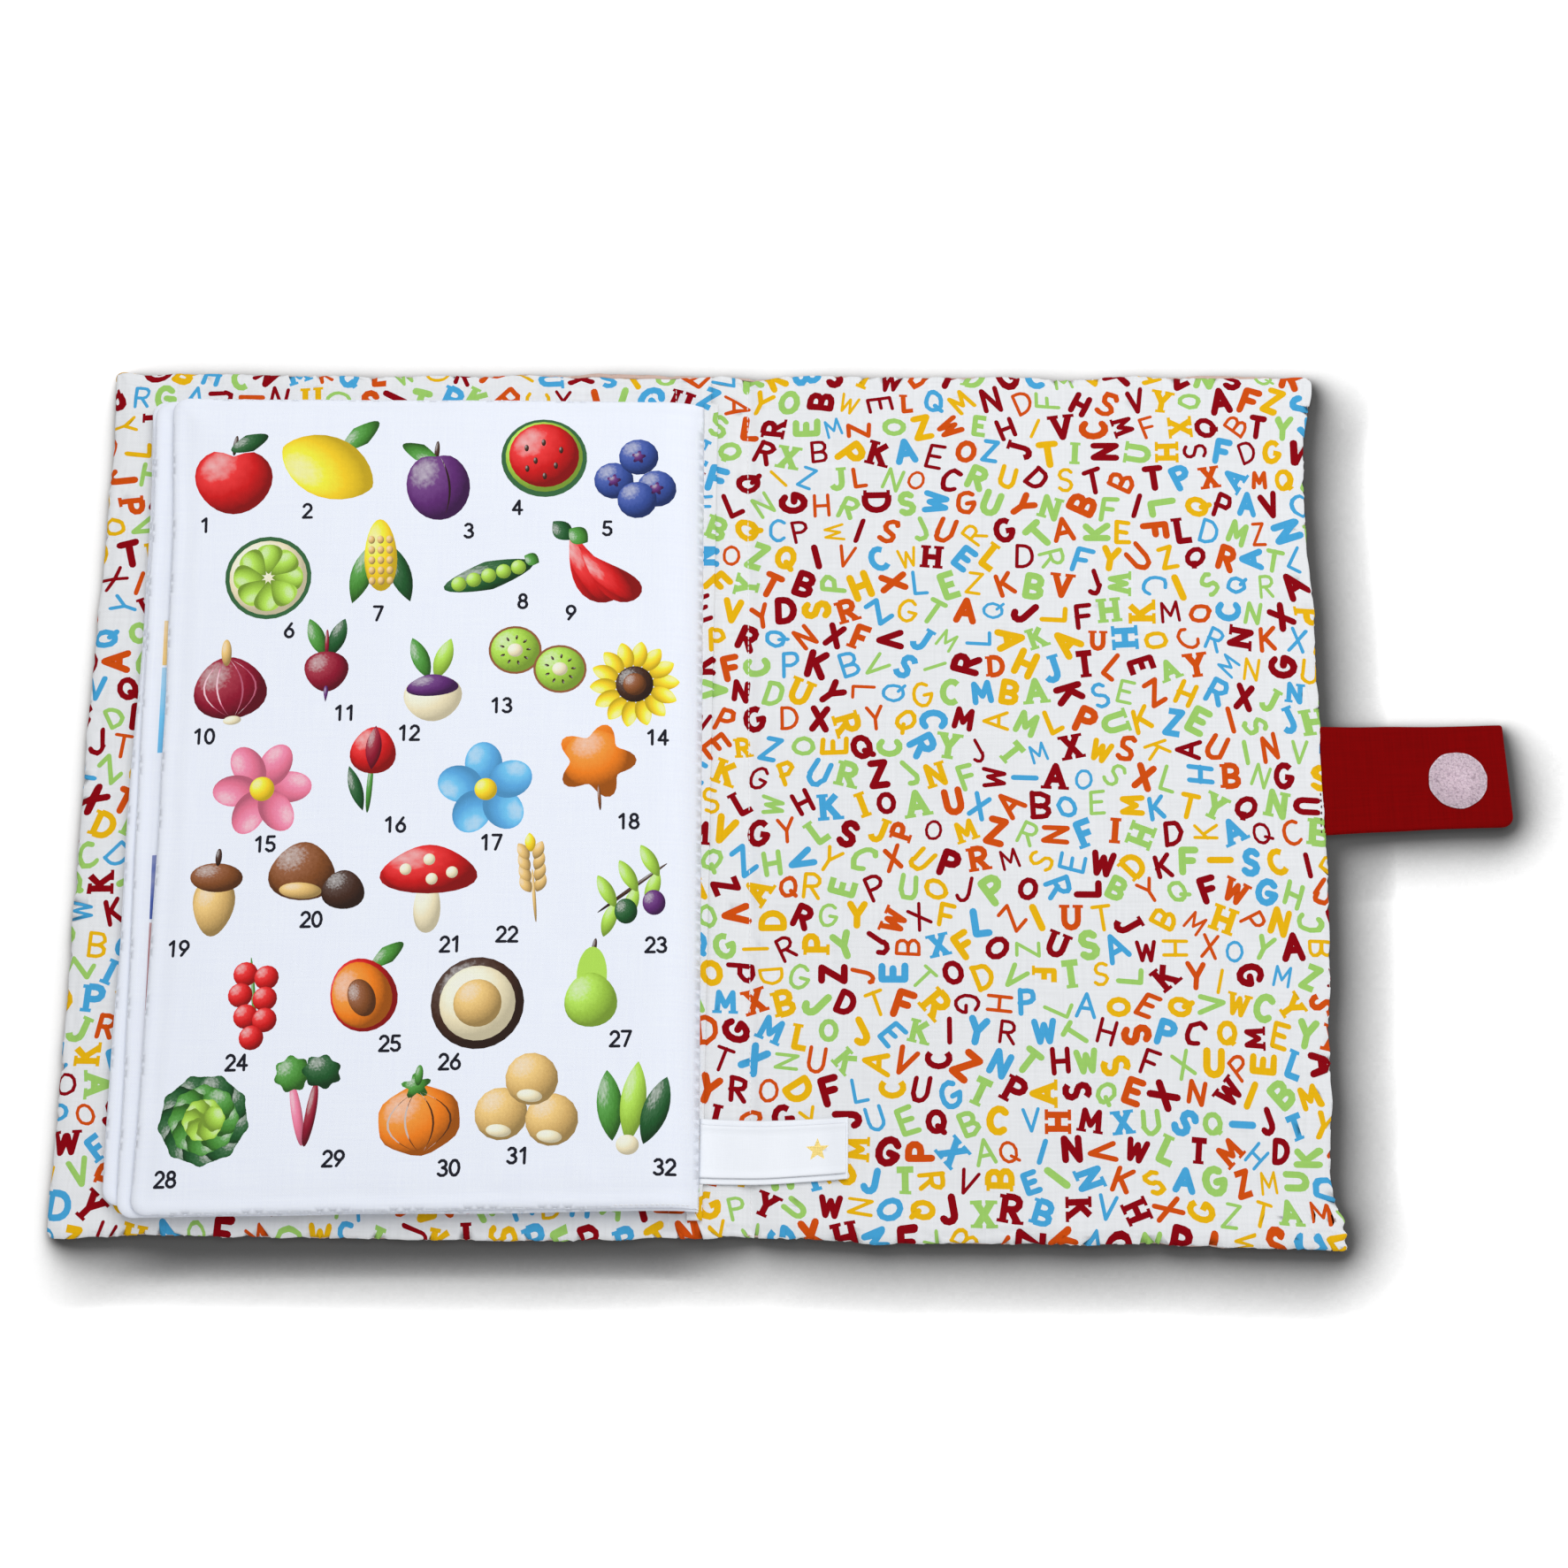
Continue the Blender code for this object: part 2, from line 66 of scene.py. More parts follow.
# Measured bows of the cover's edges: (place along the edge, how far the edge is drawn in), in mm.
RIGHT_BOW = ((-156, 0.0), (-153.4, 0.0), (-151.2, 1.5), (-149.0, 0.7), (-146.8, 2.1), (-144.4, 1.5),
             (-140.5, 3.6), (-131, 5.1), (-121, 4.8), (-80, 3.2), (-32, 1.6), (24, 2.4), (60, 3.0),
             (84, 4.0), (108, 5.0), (135, 3.0), (146, 0.7), (156, 0.0))
LEFT_BOW = ((-156, 0.2), (-80, 0.8), (0, 0.0), (80, 0.9), (156, 0.2))
TOP_BOW = ((-214, 0.0), (-120, 0.9), (-40, 0.4), (0, 0.6), (14, 2.0), (30, 0.8), (120, 1.0), (214, 0.2))
BOTTOM_BOW = ((-214, 0.0), (-150, 1.2), (-60, 0.5), (12, 2.0), (60, 0.6), (140, 1.4), (214, 0.0))
BOW_REACH = 45 * MM
# Where the lining is drawn down at the head: (middle in mm, reach in mm, rise of the seam in degrees).
HEAD_DIPS = ((-32, 22, 44), (14, 6, 16), (186, 16, 30))
# The creases lean: (x at the foot, x at the head), in mm.
LEFT_CREASE, RIGHT_CREASE = (-8.5, -12.7), (18.5, 12.6)
# The outer cloth stands up over the fastening that is sewn on it.
HOOK_PLACE, HOOK_ROOM, HOOK_SLOPE, HOOK_LIFT = (-188.6 * MM, 5.5 * MM), 13 * MM, 3 * MM, 1.0 * MM
GRID_STEP, RIM_ZONE, RIM_LINES = 3.2 * MM, 15 * MM, (0.5, 12.5, 0.8)


def follow(table, place):
    """Smooth value between a table's (place, value) pairs, all in mm."""
    place = min(max(place / MM, table[0][0]), table[-1][0])
    for n in range(len(table) - 1):
        if place <= table[n + 1][0]:
            break
    before, after = table[max(n - 1, 0)], table[min(n + 2, len(table) - 1)]
    (x0, y0), (x1, y1) = table[n], table[n + 1]
    slope0 = (y1 - before[1]) / max(x1 - before[0], 1)
    slope1 = (after[1] - y0) / max(after[0] - x0, 1)
    t, span = (place - x0) / (x1 - x0), x1 - x0
    return MM * ((2 * t**3 - 3 * t**2 + 1) * y0 + (t**3 - 2 * t**2 + t) * span * slope0
                 + (3 * t**2 - 2 * t**3) * y1 + (t**3 - t**2) * span * slope1)


def ease(share):
    """Zero to one with soft ends."""
    share = min(max(share, 0.0), 1.0)
    return share * share * (3 - 2 * share)


def bell(gap, reach):
    """One where there is no gap, and next to nothing beyond twice this reach."""
    return exp(-((gap / reach) ** 2))


def ripple(x, y, size, seed):
    """Smooth uneven value from about -1 to 1, with waves of about this size."""
    return noise.noise(Vector((x / size, y / size, seed * 7.31))) * 1.6


def crease_x(crease, y):
    """Where a leaning crease crosses this height."""
    foot, head = crease
    return MM * (foot + (head - foot) * (y + HALF_HEIGHT) / (2 * HALF_HEIGHT))


def seam_angle(along, raised):
    """How far above the edge's widest line the seam lies: the outer cloth shows below it."""
    return radians(max(raised + 8 * ripple(along, 0, 26 * MM, 3), -16))


def head_seam(along):
    """The seam's rise at the head, in degrees."""
    return 6 + sum(rise * bell(along / MM - middle, reach) for middle, reach, rise in HEAD_DIPS)


def round_corner(x, y):
    """A place in the cover's plan, drawn in where the corner is rounded."""
    over_x, over_y = abs(x) - HALF_WIDTH + COVER_CORNER, abs(y) - HALF_HEIGHT + COVER_CORNER
    if min(over_x, over_y) <= 0:
        return x, y
    drawn_in = 1 - max(over_x, over_y) / hypot(over_x, over_y)
    return x - copysign(over_x * drawn_in, x), y - copysign(over_y * drawn_in, y)


def rim(flat, half_flat, half, seam, upper):
    """Plan distance from the middle and share of the full height, at a flat distance from it."""
    inward = (half_flat - abs(flat)) / RIM_CLOTH
    pinch = 1 - 0.13 * bell(inward * RIM_CLOTH, 0.7 * MM)
    if upper:
        angle = seam + (pi / 2 - seam) * min(inward, 1)
    else:
        angle = seam - (pi / 2 + seam) * min(inward, 1)
    place = half - RIM_REACH - max(half_flat - abs(flat) - RIM_CLOTH, 0)
    if inward < 1:
        place = half - RIM_REACH * (1 - cos(angle) * pinch)
    return (place if flat >= 0 else -place), sin(angle) * pinch


def cover_plan(s, t, upper):
    """Place on the table and share of the height of a flat point of the cover's cloth."""
    x, share_x = rim(s, FLAT_WIDTH, HALF_WIDTH, seam_angle(t, -5), upper)
    y, share_y = rim(t, FLAT_HEIGHT, HALF_HEIGHT, seam_angle(s, head_seam(s) if t > 0 else -9), upper)
    x, y = round_corner(x, y)
    share = share_x * share_y
    if not upper or max(share_x, share_y) < 0:
        share = abs(share) * (1 if max(share_x, share_y) > 0 else -1)
    right, left = (ease(1 - (HALF_WIDTH + side * x) / BOW_REACH) for side in (-1, 1))
    top, foot = (ease(1 - (HALF_HEIGHT + side * y) / BOW_REACH) for side in (-1, 1))
    flutter = 0.5 * MM * ripple(x, y, 17 * MM, 5) + 0.35 * MM * ripple(x, y, 7 * MM, 15)
    moved_x = x - right * (follow(RIGHT_BOW, y) + flutter) + left * (follow(LEFT_BOW, y) + flutter)
    moved_y = y - top * (follow(TOP_BOW, x) + flutter) + foot * (follow(BOTTOM_BOW, x) + flutter)
    return moved_x, moved_y, share


def outer_place(s, t):
    """The outer cloth lies flat on the table and rolls up at its edges."""
    x, y, share = cover_plan(s, t, upper=False)
    lift = 0.25 * MM * max(0, 1 + share) * max(0, ripple(x, y, 9 * MM, 8))
    over_disc = HOOK_LIFT * ease((HOOK_ROOM - hypot(x - HOOK_PLACE[0], y - HOOK_PLACE[1])) / HOOK_SLOPE)
    return Vector((x, y, max(HALF_COVER + HALF_COVER * share + lift, over_disc)))


def winding(loop, spots):
    """How many times a closed loop runs round each of the spots."""
    x, y = spots.T
    turns = np.zeros(len(spots), int)
    for (ax, ay), (bx, by) in zip(loop, list(loop[1:]) + [loop[0]]):
        side = (bx - ax) * (y - ay) - (x - ax) * (by - ay)
        turns += ((ay <= y) & (by > y) & (side > 0)).astype(int)
        turns -= ((ay > y) & (by <= y) & (side < 0)).astype(int)
    return turns


def steps(low, high, size):
    """Even places from low to high, about this size apart."""
    return np.linspace(low, high, max(2, round(abs(high - low) / size) + 1))


def sheet_border(left, right, low, high, size, corners=(0, 0, 0, 0)):
    """The outline of a cut cloth, as points about this size apart.

    The radii of its corners are given from the lower left round.
    """
    loop, radii = [], list(corners) + [corners[0]]
    for n, (x, y) in enumerate(((left, low), (right, low), (right, high), (left, high))):
        radius, turn = radii[n], pi + n * pi / 2
        middle = (x + radius * (1 if n in (0, 3) else -1), y + radius * (1 if n < 2 else -1))
        if radius:
            loop += [(middle[0] + radius * cos(a), middle[1] + radius * sin(a))
                     for a in np.linspace(turn, turn + pi / 2, 8)[:-1]]
        length = (right - left if n % 2 == 0 else high - low) - radius - radii[n + 1]
        way = ((1, 0), (0, 1), (-1, 0), (0, -1))[n]
        loop += [(x + way[0] * (radius + a), y + way[1] * (radius + a))
                 for a in steps(0, length, size)[:-1]]
    return loop


def new_piece(name, verts, faces, finishes=()):
    """A smooth mesh in the scene, which alone is selected."""
    mesh = bpy.data.meshes.new(name)
    mesh.from_pydata(verts, [], faces)
    for finish in finishes:
        mesh.materials.append(finish)
    mesh.shade_smooth()
    made = bpy.data.objects.new(name, mesh)
    bpy.context.scene.collection.objects.link(made)
    bpy.ops.object.select_all(action="DESELECT")
    bpy.context.view_layer.objects.active = made
    made.select_set(True)
    return made


def inlaid_cloth(name, border, lines, patches, place, thickness, finishes, face_down=False):
    """A cloth cut along its border, with every printed patch as faces of its own.

    The lines are the places in x and in y that its grid runs through. A patch is (finish number,
    outline, picture), where picture is the middle, the half sizes and the turn of the picture that
    the patch is shaded as, or None.
    """
    low, high = np.min(border, axis=0), np.max(border, axis=0)
    patches = [patch for patch in patches
               if (np.max(patch[1], axis=0) > low).all() and (np.min(patch[1], axis=0) < high).all()]
    points, edges = [], []
    for loop in [border] + [patch[1] for patch in patches]:
        first = len(points)
        points += [Vector(p) for p in loop]
        edges += [(first + n, first + (n + 1) % len(loop)) for n in range(len(loop))]
    grid = np.array([(x, y) for x in lines[0] for y in lines[1]])
    points += [Vector(p) for p in grid[winding(border, grid) != 0]]
    spots, _, triangles, *_ = delaunay_2d_cdt(points, edges, [], 0, 1e-7)
    flat = np.array([(p.x, p.y) for p in spots])
    middles = flat[np.array(triangles)].mean(axis=1)
    inside = winding(border, middles) != 0
    ink_of, owner = np.zeros(len(middles), int), np.full(len(middles), -1)
    by_x = np.argsort(middles[:, 0])
    for number, (ink, loop, _) in enumerate(patches):
        low, high = np.min(loop, axis=0), np.max(loop, axis=0)
        first, last = np.searchsorted(middles[by_x, 0], (low[0], high[0]))
        near = by_x[first:last]
        near = near[(middles[near, 1] > low[1]) & (middles[near, 1] < high[1])]
        hit = near[winding(loop, middles[near]) != 0]
        ink_of[hit], owner[hit] = ink, number
    kept = [n for n in range(len(triangles)) if inside[n]]
    used = sorted({v for n in kept for v in triangles[n]})
    renumbered = {old: new for new, old in enumerate(used)}
    turn = -1 if face_down else 1
    faces = [[renumbered[v] for v in triangles[n]][::turn] for n in kept]
    made = new_piece(name, [place(*flat[v]) for v in used], faces, finishes)
    made.data.polygons.foreach_set("material_index", ink_of[kept])
    corners = np.array([flat[used[loop.vertex_index]] for loop in made.data.loops])
    made.data.uv_layers.new(name="cloth").data.foreach_set("uv", corners.ravel())
    if any(patch[2] for patch in patches):
        seen, owners = np.zeros_like(corners), np.repeat(owner[kept], 3)
        for number in set(owners[owners >= 0]):
            if patches[number][2]:
                x, y, wide, high, angle = patches[number][2]
                rows = owners == number
                across, along = corners[rows, 0] - x, corners[rows, 1] - y
                seen[rows, 0] = (across * cos(angle) + along * sin(angle)) / wide
                seen[rows, 1] = (along * cos(angle) - across * sin(angle)) / high
        made.data.uv_layers.new(name="picture").data.foreach_set("uv", seen.ravel())
    wall = made.modifiers.new("cloth", "SOLIDIFY")
    wall.thickness, wall.offset = thickness, -1
    bpy.ops.object.modifier_apply(modifier=wall.name)
    return made


def feed(tree, made, fed):
    """Gives a shader node's inputs their values, or links another node's output to them."""
    for socket, given in fed.items():
        if isinstance(given, bpy.types.NodeSocket):
            tree.links.new(given, made.inputs[socket])
        else:
            made.inputs[socket].default_value = given
    return made


def node(tree, kind, fed, **settings):
    """A new shader node with its settings and what feeds its inputs."""
    made = tree.nodes.new("ShaderNode" + kind)
    for name, value in settings.items():
        setattr(made, name, value)
    return feed(tree, made, fed)


def maths(tree, kind, *values):
    """The result of a Math node for these numbers or outputs."""
    return node(tree, "Math", dict(enumerate(values)), operation=kind).outputs[0]


def effect_group(name, inputs, outputs):
    """An empty shader node group, with its input and its output node."""
    group = bpy.data.node_groups.new(name, "ShaderNodeTree")
    for way, sockets in (("INPUT", inputs), ("OUTPUT", outputs)):
        for socket in sockets:
            group.interface.new_socket(socket, in_out=way, socket_type="NodeSocketFloat")
    return group, group.nodes.new("NodeGroupInput").outputs, group.nodes.new("NodeGroupOutput")


def weave_group():
    """Plain weave on the cloth's own map: Tone is the light on the threads, Height is for a bump."""
    group, given, out = effect_group("plain_weave", ["Threads per metre"], ["Tone", "Height"])
    cloth = node(group, "UVMap", {}, uv_map="cloth").outputs[0]
    scaled = node(group, "VectorMath", {0: cloth, "Scale": given[0]}, operation="SCALE").outputs[0]
    split = node(group, "SeparateXYZ", {0: scaled}).outputs
    warp, weft = (maths(group, "SINE", maths(group, "MULTIPLY", split[axis], pi)) for axis in (0, 1))
    slubs = []
    for stretch in ((1.0, 0.04, 1.0), (0.04, 1.0, 1.0)):
        placed = node(group, "Mapping", {"Vector": scaled, "Scale": stretch}).outputs[0]
        thread = node(group, "TexNoise", {"Vector": placed, "Scale": 0.55, "Detail": 1.0})
        slubs.append(thread.outputs["Fac"])
    crossing = maths(group, "MULTIPLY", warp, weft)
    height = maths(group, "MULTIPLY_ADD", crossing, 0.25, maths(group, "ADD", *slubs))
    tone = node(group, "MapRange", {"Value": height, "From Min": 0.55, "From Max": 1.45}).outputs[0]
    feed(group, out, {"Tone": tone, "Height": height})
    return group


PLAIN_WEAVE = weave_group()


def shader_colour(colour):
    """A colour given in display values, as a shader takes it."""
    return [((c / 255 + 0.055) / 1.055) ** 2.4 if c > 10 else c / 255 / 12.92 for c in colour]


def new_material(name):
    """A new material with its node tree and its main shader."""
    made = bpy.data.materials.new(name)
    made.use_nodes = True
    return made, made.node_tree, made.node_tree.nodes["Principled BSDF"]


def woven(name, colour, threads=2600, depth=0.08, roughness=0.85, sheen=0.12, bump=0.25, gloss=0.25):
    """Woven cotton or thread of one colour, given in display values."""
    made, tree, shader = new_material(name)
    bright = shader_colour(colour)
    weave = node(tree, "Group", {0: threads}, node_tree=PLAIN_WEAVE)
    # Painted light and shade of the weave: the colour is darker between the threads and lighter on their
    # crowns, by this depth.
    mixed = node(tree, "Mix", {"A": (*[c * (1 - depth) for c in bright], 1),
                               "B": (*[min(c * (1 + depth * 0.6), 0.98) for c in bright], 1),
                               "Factor": weave.outputs["Tone"]}, data_type="RGBA")
    raised = node(tree, "Bump", {"Strength": bump, "Distance": 0.15 * MM, "Height": weave.outputs["Height"]})
    feed(tree, shader, {"Roughness": roughness, "Sheen Weight": sheen, "Specular IOR Level": gloss,
                        "Base Color": mixed.outputs["Result"], "Normal": raised.outputs["Normal"]})
    made.diffuse_color = (*bright, 1)
    return made


def cover_half(name, side, inner_lines, patches, place, finishes, face_down):
    """One half of a cover cloth, from the middle of the spine to its fore-edge."""
    left, right = sorted((0.0, side * FLAT_WIDTH))
    border = sheet_border(left, right, -FLAT_HEIGHT, FLAT_HEIGHT, 2.5 * MM)
    lines_x = [side * x for x in inner_lines]
    lines_x += [side * (FLAT_WIDTH - line * MM) for line in steps(*RIM_LINES)]
    lines_y = list(steps(-FLAT_HEIGHT + RIM_ZONE, FLAT_HEIGHT - RIM_ZONE, GRID_STEP))
    lines_y += [end * (FLAT_HEIGHT - line * MM) for line in steps(*RIM_LINES) for end in (-1, 1)]
    made = inlaid_cloth(name, border, (lines_x, lines_y), patches, place, COVER_CLOTH, finishes, face_down)
    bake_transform(made)
    return made


OUTER_COTTON = woven("outer_cotton", (206, 178, 166), depth=0.10)
for side, half, panel, body in ((-1, "front", "front_outer_cloth", "front_cover"),
                                (1, "back", "back_outer_cloth", "back_cover")):
    outer = cover_half(f"outer_cloth_{half}", side, steps(3 * MM, FLAT_WIDTH - RIM_ZONE, 3.4 * MM), [],
                       outer_place, [OUTER_COTTON], True)
    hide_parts(panel, *(["spine_outer_cloth"] if side > 0 else []))

# Wadding of the cover. Needled polyester in three pads, one in each panel and one in the spine,
# held by the crease seams. It is shut in between the outer cloth and the lining.

CROWN, PAD_STEP, PAD_TAPER = 0.82, 6 * MM, 8 * MM
# The grid of the cloth that settles, in places, and the frames that it takes.
SETTLE_HALF, SETTLE_PLACES, SETTLE_FRAMES = (207.8 * MM, 149.3 * MM), (139, 100), 20
SEWN_REACH, SLACK_REACH = 1.6 * MM, 12 * MM
FOLD_SHARE, FOLD_CAP, FOLD_FADE, SPINE_FOLDS = 0.34, 0.8 * MM, 13 * MM, 0.25
# Grooves that the crease seams draw into the lining: (depth, reach), in mm.
CREASE_GROOVES = ((1.35, 2.6), (0.45, 8.0))


def from_stitches(x, y):
    """How far a place of the lining is from the nearest seam that holds it down."""
    creases = (abs(x - crease_x(crease, y)) for crease in (LEFT_CREASE, RIGHT_CREASE))
    return min(SETTLE_HALF[0] - abs(x), SETTLE_HALF[1] - abs(y), *creases)


def settled_folds():
    """Heights of a cloth that is sewn down along the seams and a little too large beside them."""
    xs, ys = (np.linspace(-half, half, count) for half, count in zip(SETTLE_HALF, SETTLE_PLACES))
    wide, faces = len(xs), []
    verts = [(x, y, 0.25 * MM * ripple(x, y, 14 * MM, 3)) for y in ys for x in xs]
    for row in range(len(ys) - 1):
        for n in range(wide - 1):
            a = row * wide + n
            b, c, d = a + 1, a + 1 + wide, a + wide
            faces += [(a, b, c), (a, c, d)] if (row + n) % 2 else [(a, b, d), (b, c, d)]
    made = new_piece("settling_cloth", verts, faces)
    sewn, slack = made.vertex_groups.new(name="sewn"), made.vertex_groups.new(name="slack")
    for n, (x, y, _) in enumerate(verts):
        gap = from_stitches(x, y)
        sewn.add([n], 1.0 if gap < SEWN_REACH else 0.02, "REPLACE")
        slack.add([n], 1 - bell(gap, SLACK_REACH), "REPLACE")
    cloth = made.modifiers.new("settle", "CLOTH")
    given = cloth.settings
    given.quality, given.mass, given.bending_stiffness = 6, 0.12, 0.3
    given.tension_stiffness = given.compression_stiffness = 12
    given.shear_stiffness = 4
    given.vertex_group_mass, given.pin_stiffness = "sewn", 1.0
    given.vertex_group_shrink, given.shrink_min, given.shrink_max = "slack", -0.05, 0.0
    given.use_pressure, given.uniform_pressure_force = True, 0.4
    given.effector_weights.gravity = 0
    cloth.collision_settings.use_collision = False
    cloth.point_cache.frame_start, cloth.point_cache.frame_end = 1, SETTLE_FRAMES
    for moment in range(1, SETTLE_FRAMES + 1):
        bpy.context.scene.frame_set(moment)
    seen = made.evaluated_get(bpy.context.evaluated_depsgraph_get()).data
    places = np.empty(3 * len(verts))
    seen.vertices.foreach_get("co", places)
    bpy.context.scene.frame_set(1)
    bpy.data.objects.remove(made)
    heights = places[2::3].reshape(len(ys), wide)
    return heights - heights.mean()


FOLDS = settled_folds()


def fold_height(x, y):
    """Height of the lining's settled folds, which fade at the seams and are kept low on the spine."""
    rows, columns = FOLDS.shape
    u = min(max((x / SETTLE_HALF[0] + 1) / 2, 0), 1) * (columns - 1)
    v = min(max((y / SETTLE_HALF[1] + 1) / 2, 0), 1) * (rows - 1)
    a, b = min(int(u), columns - 2), min(int(v), rows - 2)
    p, q = u - a, v - b
    near, far = (FOLDS[row, a] * (1 - p) + FOLDS[row, a + 1] * p for row in (b, b + 1))
    fade = ease(from_stitches(x, y) / FOLD_FADE)
    if crease_x(LEFT_CREASE, y) < x < crease_x(RIGHT_CREASE, y):
        fade *= SPINE_FOLDS
    return FOLD_CAP * tanh(FOLD_SHARE * (near * (1 - q) + far * q) / FOLD_CAP) * fade


# Small gathers beside the foot corner: (place at the edge, where it runs out), in mm.
GATHERS = (((213.0, -146.6), (208.0, -150.4)), ((213.6, -151.0), (207.6, -153.0)))
GATHER_DEPTH, GATHER_REACH = 1.3, 0.85


def gathered(x, y):
    """How deep the gathers press the lining in, in mm."""
    deepest = 0.0
    for start, end in GATHERS:
        way, spot = Vector(end) - Vector(start), Vector((x / MM - start[0], y / MM - start[1]))
        along = min(max(spot.dot(way) / way.length_squared, 0), 1)
        near = bell((spot - way * along).length, GATHER_REACH)
        deepest = max(deepest, GATHER_DEPTH * (1 - 0.8 * along) * near)
    return deepest


def lining_place(s, t):
    """The lining over the wadding: crowned, drawn down at the creases and puckered at the seams."""
    x, y, share = cover_plan(s, t, upper=True)
    grooves = 0.0
    for crease in (LEFT_CREASE, RIGHT_CREASE):
        gap = abs(x - crease_x(crease, y)) / MM
        grooves += sum(deep * bell(gap, reach) for deep, reach in CREASE_GROOVES)
        share += 0.10 * bell(gap, 7.0) * ripple(0.2 * x, y, 7 * MM, 11)
    edge = min(HALF_WIDTH - abs(x), HALF_HEIGHT - abs(y)) / MM
    along = y if HALF_WIDTH - abs(x) < HALF_HEIGHT - abs(y) else x
    pucker = 0.36 * bell(edge, 14) * ripple(along, 0.12 * edge * MM, 8.5 * MM, 2)
    # The seam allowance inside the edge ends in a fold, which wanders and comes and goes.
    fold = 0.55 * bell(edge - 4.6 - 1.8 * ripple(along, 0, 24 * MM, 41), 0.9)
    pressed = fold * ease(0.55 + 1.3 * ripple(along, 0, 33 * MM, 43)) * max(share, 0)
    swell = 0.30 * ripple(x, y, 62 * MM, 1) + 0.10 * ripple(x, y, 21 * MM, 6) + fold_height(x, y) / MM
    height = HALF_COVER * (CROWN + 0.10 * ease(edge / 60)) + MM * (swell + pucker) * ease(edge / 7)
    if x > 200 * MM and y < -140 * MM:
        pressed += gathered(x, y) * (0.35 + 0.65 * max(share, 0))
    return Vector((x, y, HALF_COVER + height * share - MM * (grooves * ease(edge / 5) + pressed)))


def filling(name, low, high, upper, lower, inset, body, replaced):
    """A pad of wadding between two surfaces, set in from both."""
    xs, ys = steps(low[0], high[0], PAD_STEP), steps(low[1], high[1], PAD_STEP)
    verts, faces, wide, count = [], [], len(xs), len(xs) * len(ys)
    for surface, other, push in ((upper, lower, -inset), (lower, upper, inset)):
        for y in ys:
            for x in xs:
                edge = min(x - xs[0], xs[-1] - x, y - ys[0], ys[-1] - y) / PAD_TAPER
                top, foot = surface(x, y), other(x, y)
                middle = (top.z + foot.z) / 2
                full = middle + (top.z + push - middle) * (0.3 + 0.7 * ease(edge + 0.1))
                verts.append((top.x, top.y, full))
    for row in range(len(ys) - 1):
        for a in range(row * wide, row * wide + wide - 1):
            faces.append((a, a + 1, a + 1 + wide, a + wide))
            faces.append((count + a, count + a + wide, count + a + 1 + wide, count + a + 1))
    rim_loop = list(range(wide)) + [r * wide + wide - 1 for r in range(1, len(ys))]
    rim_loop += list(range(count - 2, count - wide - 1, -1)) + [r * wide for r in range(len(ys) - 2, 0, -1)]
    for a, b in zip(rim_loop, rim_loop[1:] + rim_loop[:1]):
        faces.append((b, a, a + count, b + count))
    made = new_piece(name, verts, faces, [WADDING])
    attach(made, body)
    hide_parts(*replaced)


def fluffy(name, colour):
    """Matted fibre: an uneven colour with a soft fibrous relief."""
    made, tree, shader = new_material(name)
    place = node(tree, "TexCoord", {}).outputs["Object"]
    fibre = node(tree, "TexNoise", {"Scale": 900, "Detail": 6, "Distortion": 2, "Vector": place})
    fibre = fibre.outputs["Fac"]
    tint = node(tree, "Mix", {"A": (*[c * 0.86 for c in colour], 1), "B": (*colour, 1), "Factor": fibre},
                data_type="RGBA")
    raised = node(tree, "Bump", {"Distance": 0.4 * MM, "Height": fibre})
    feed(tree, shader, {"Roughness": 1.0, "Sheen Weight": 0.4, "Base Color": tint.outputs["Result"],
                        "Normal": raised.outputs["Normal"]})
    return made


WADDING = fluffy("polyester_wadding", (0.86, 0.86, 0.83))
pad_end, pad_side, spine_side, crease_side = FLAT_HEIGHT - 6 * MM, FLAT_WIDTH - 6 * MM, 9 * MM, 17 * MM
for part, low_x, high_x, body in (("front", -pad_side, -crease_side, "front_cover"),
                                  ("spine", -spine_side, spine_side, "spine"),
                                  ("back", crease_side, pad_side, "back_cover")):
    filling(f"wadding_{part}", (low_x, -pad_end), (high_x, pad_end), lining_place, outer_place, 0.75 * MM,
            body, [f"{part}_wadding"])

# Lining of the cover, the cloth that shows round the open leaves. White cotton printed all over
# with scattered capital letters in five colours, drawn with four kinds of pen.

def arc(x, y, wide, high, first, last, count=7):
    """Points along part of an ellipse, by its angles in degrees."""
    return [(x + wide * cos(radians(a)), y + high * sin(radians(a))) for a in np.linspace(first, last, count)]


def ring(x, y, wide, high):
    """An ellipse in two strokes that overlap at their ends."""
    return [arc(x, y, wide, high, 80, 280), arc(x, y, wide, high, -100, 100)]


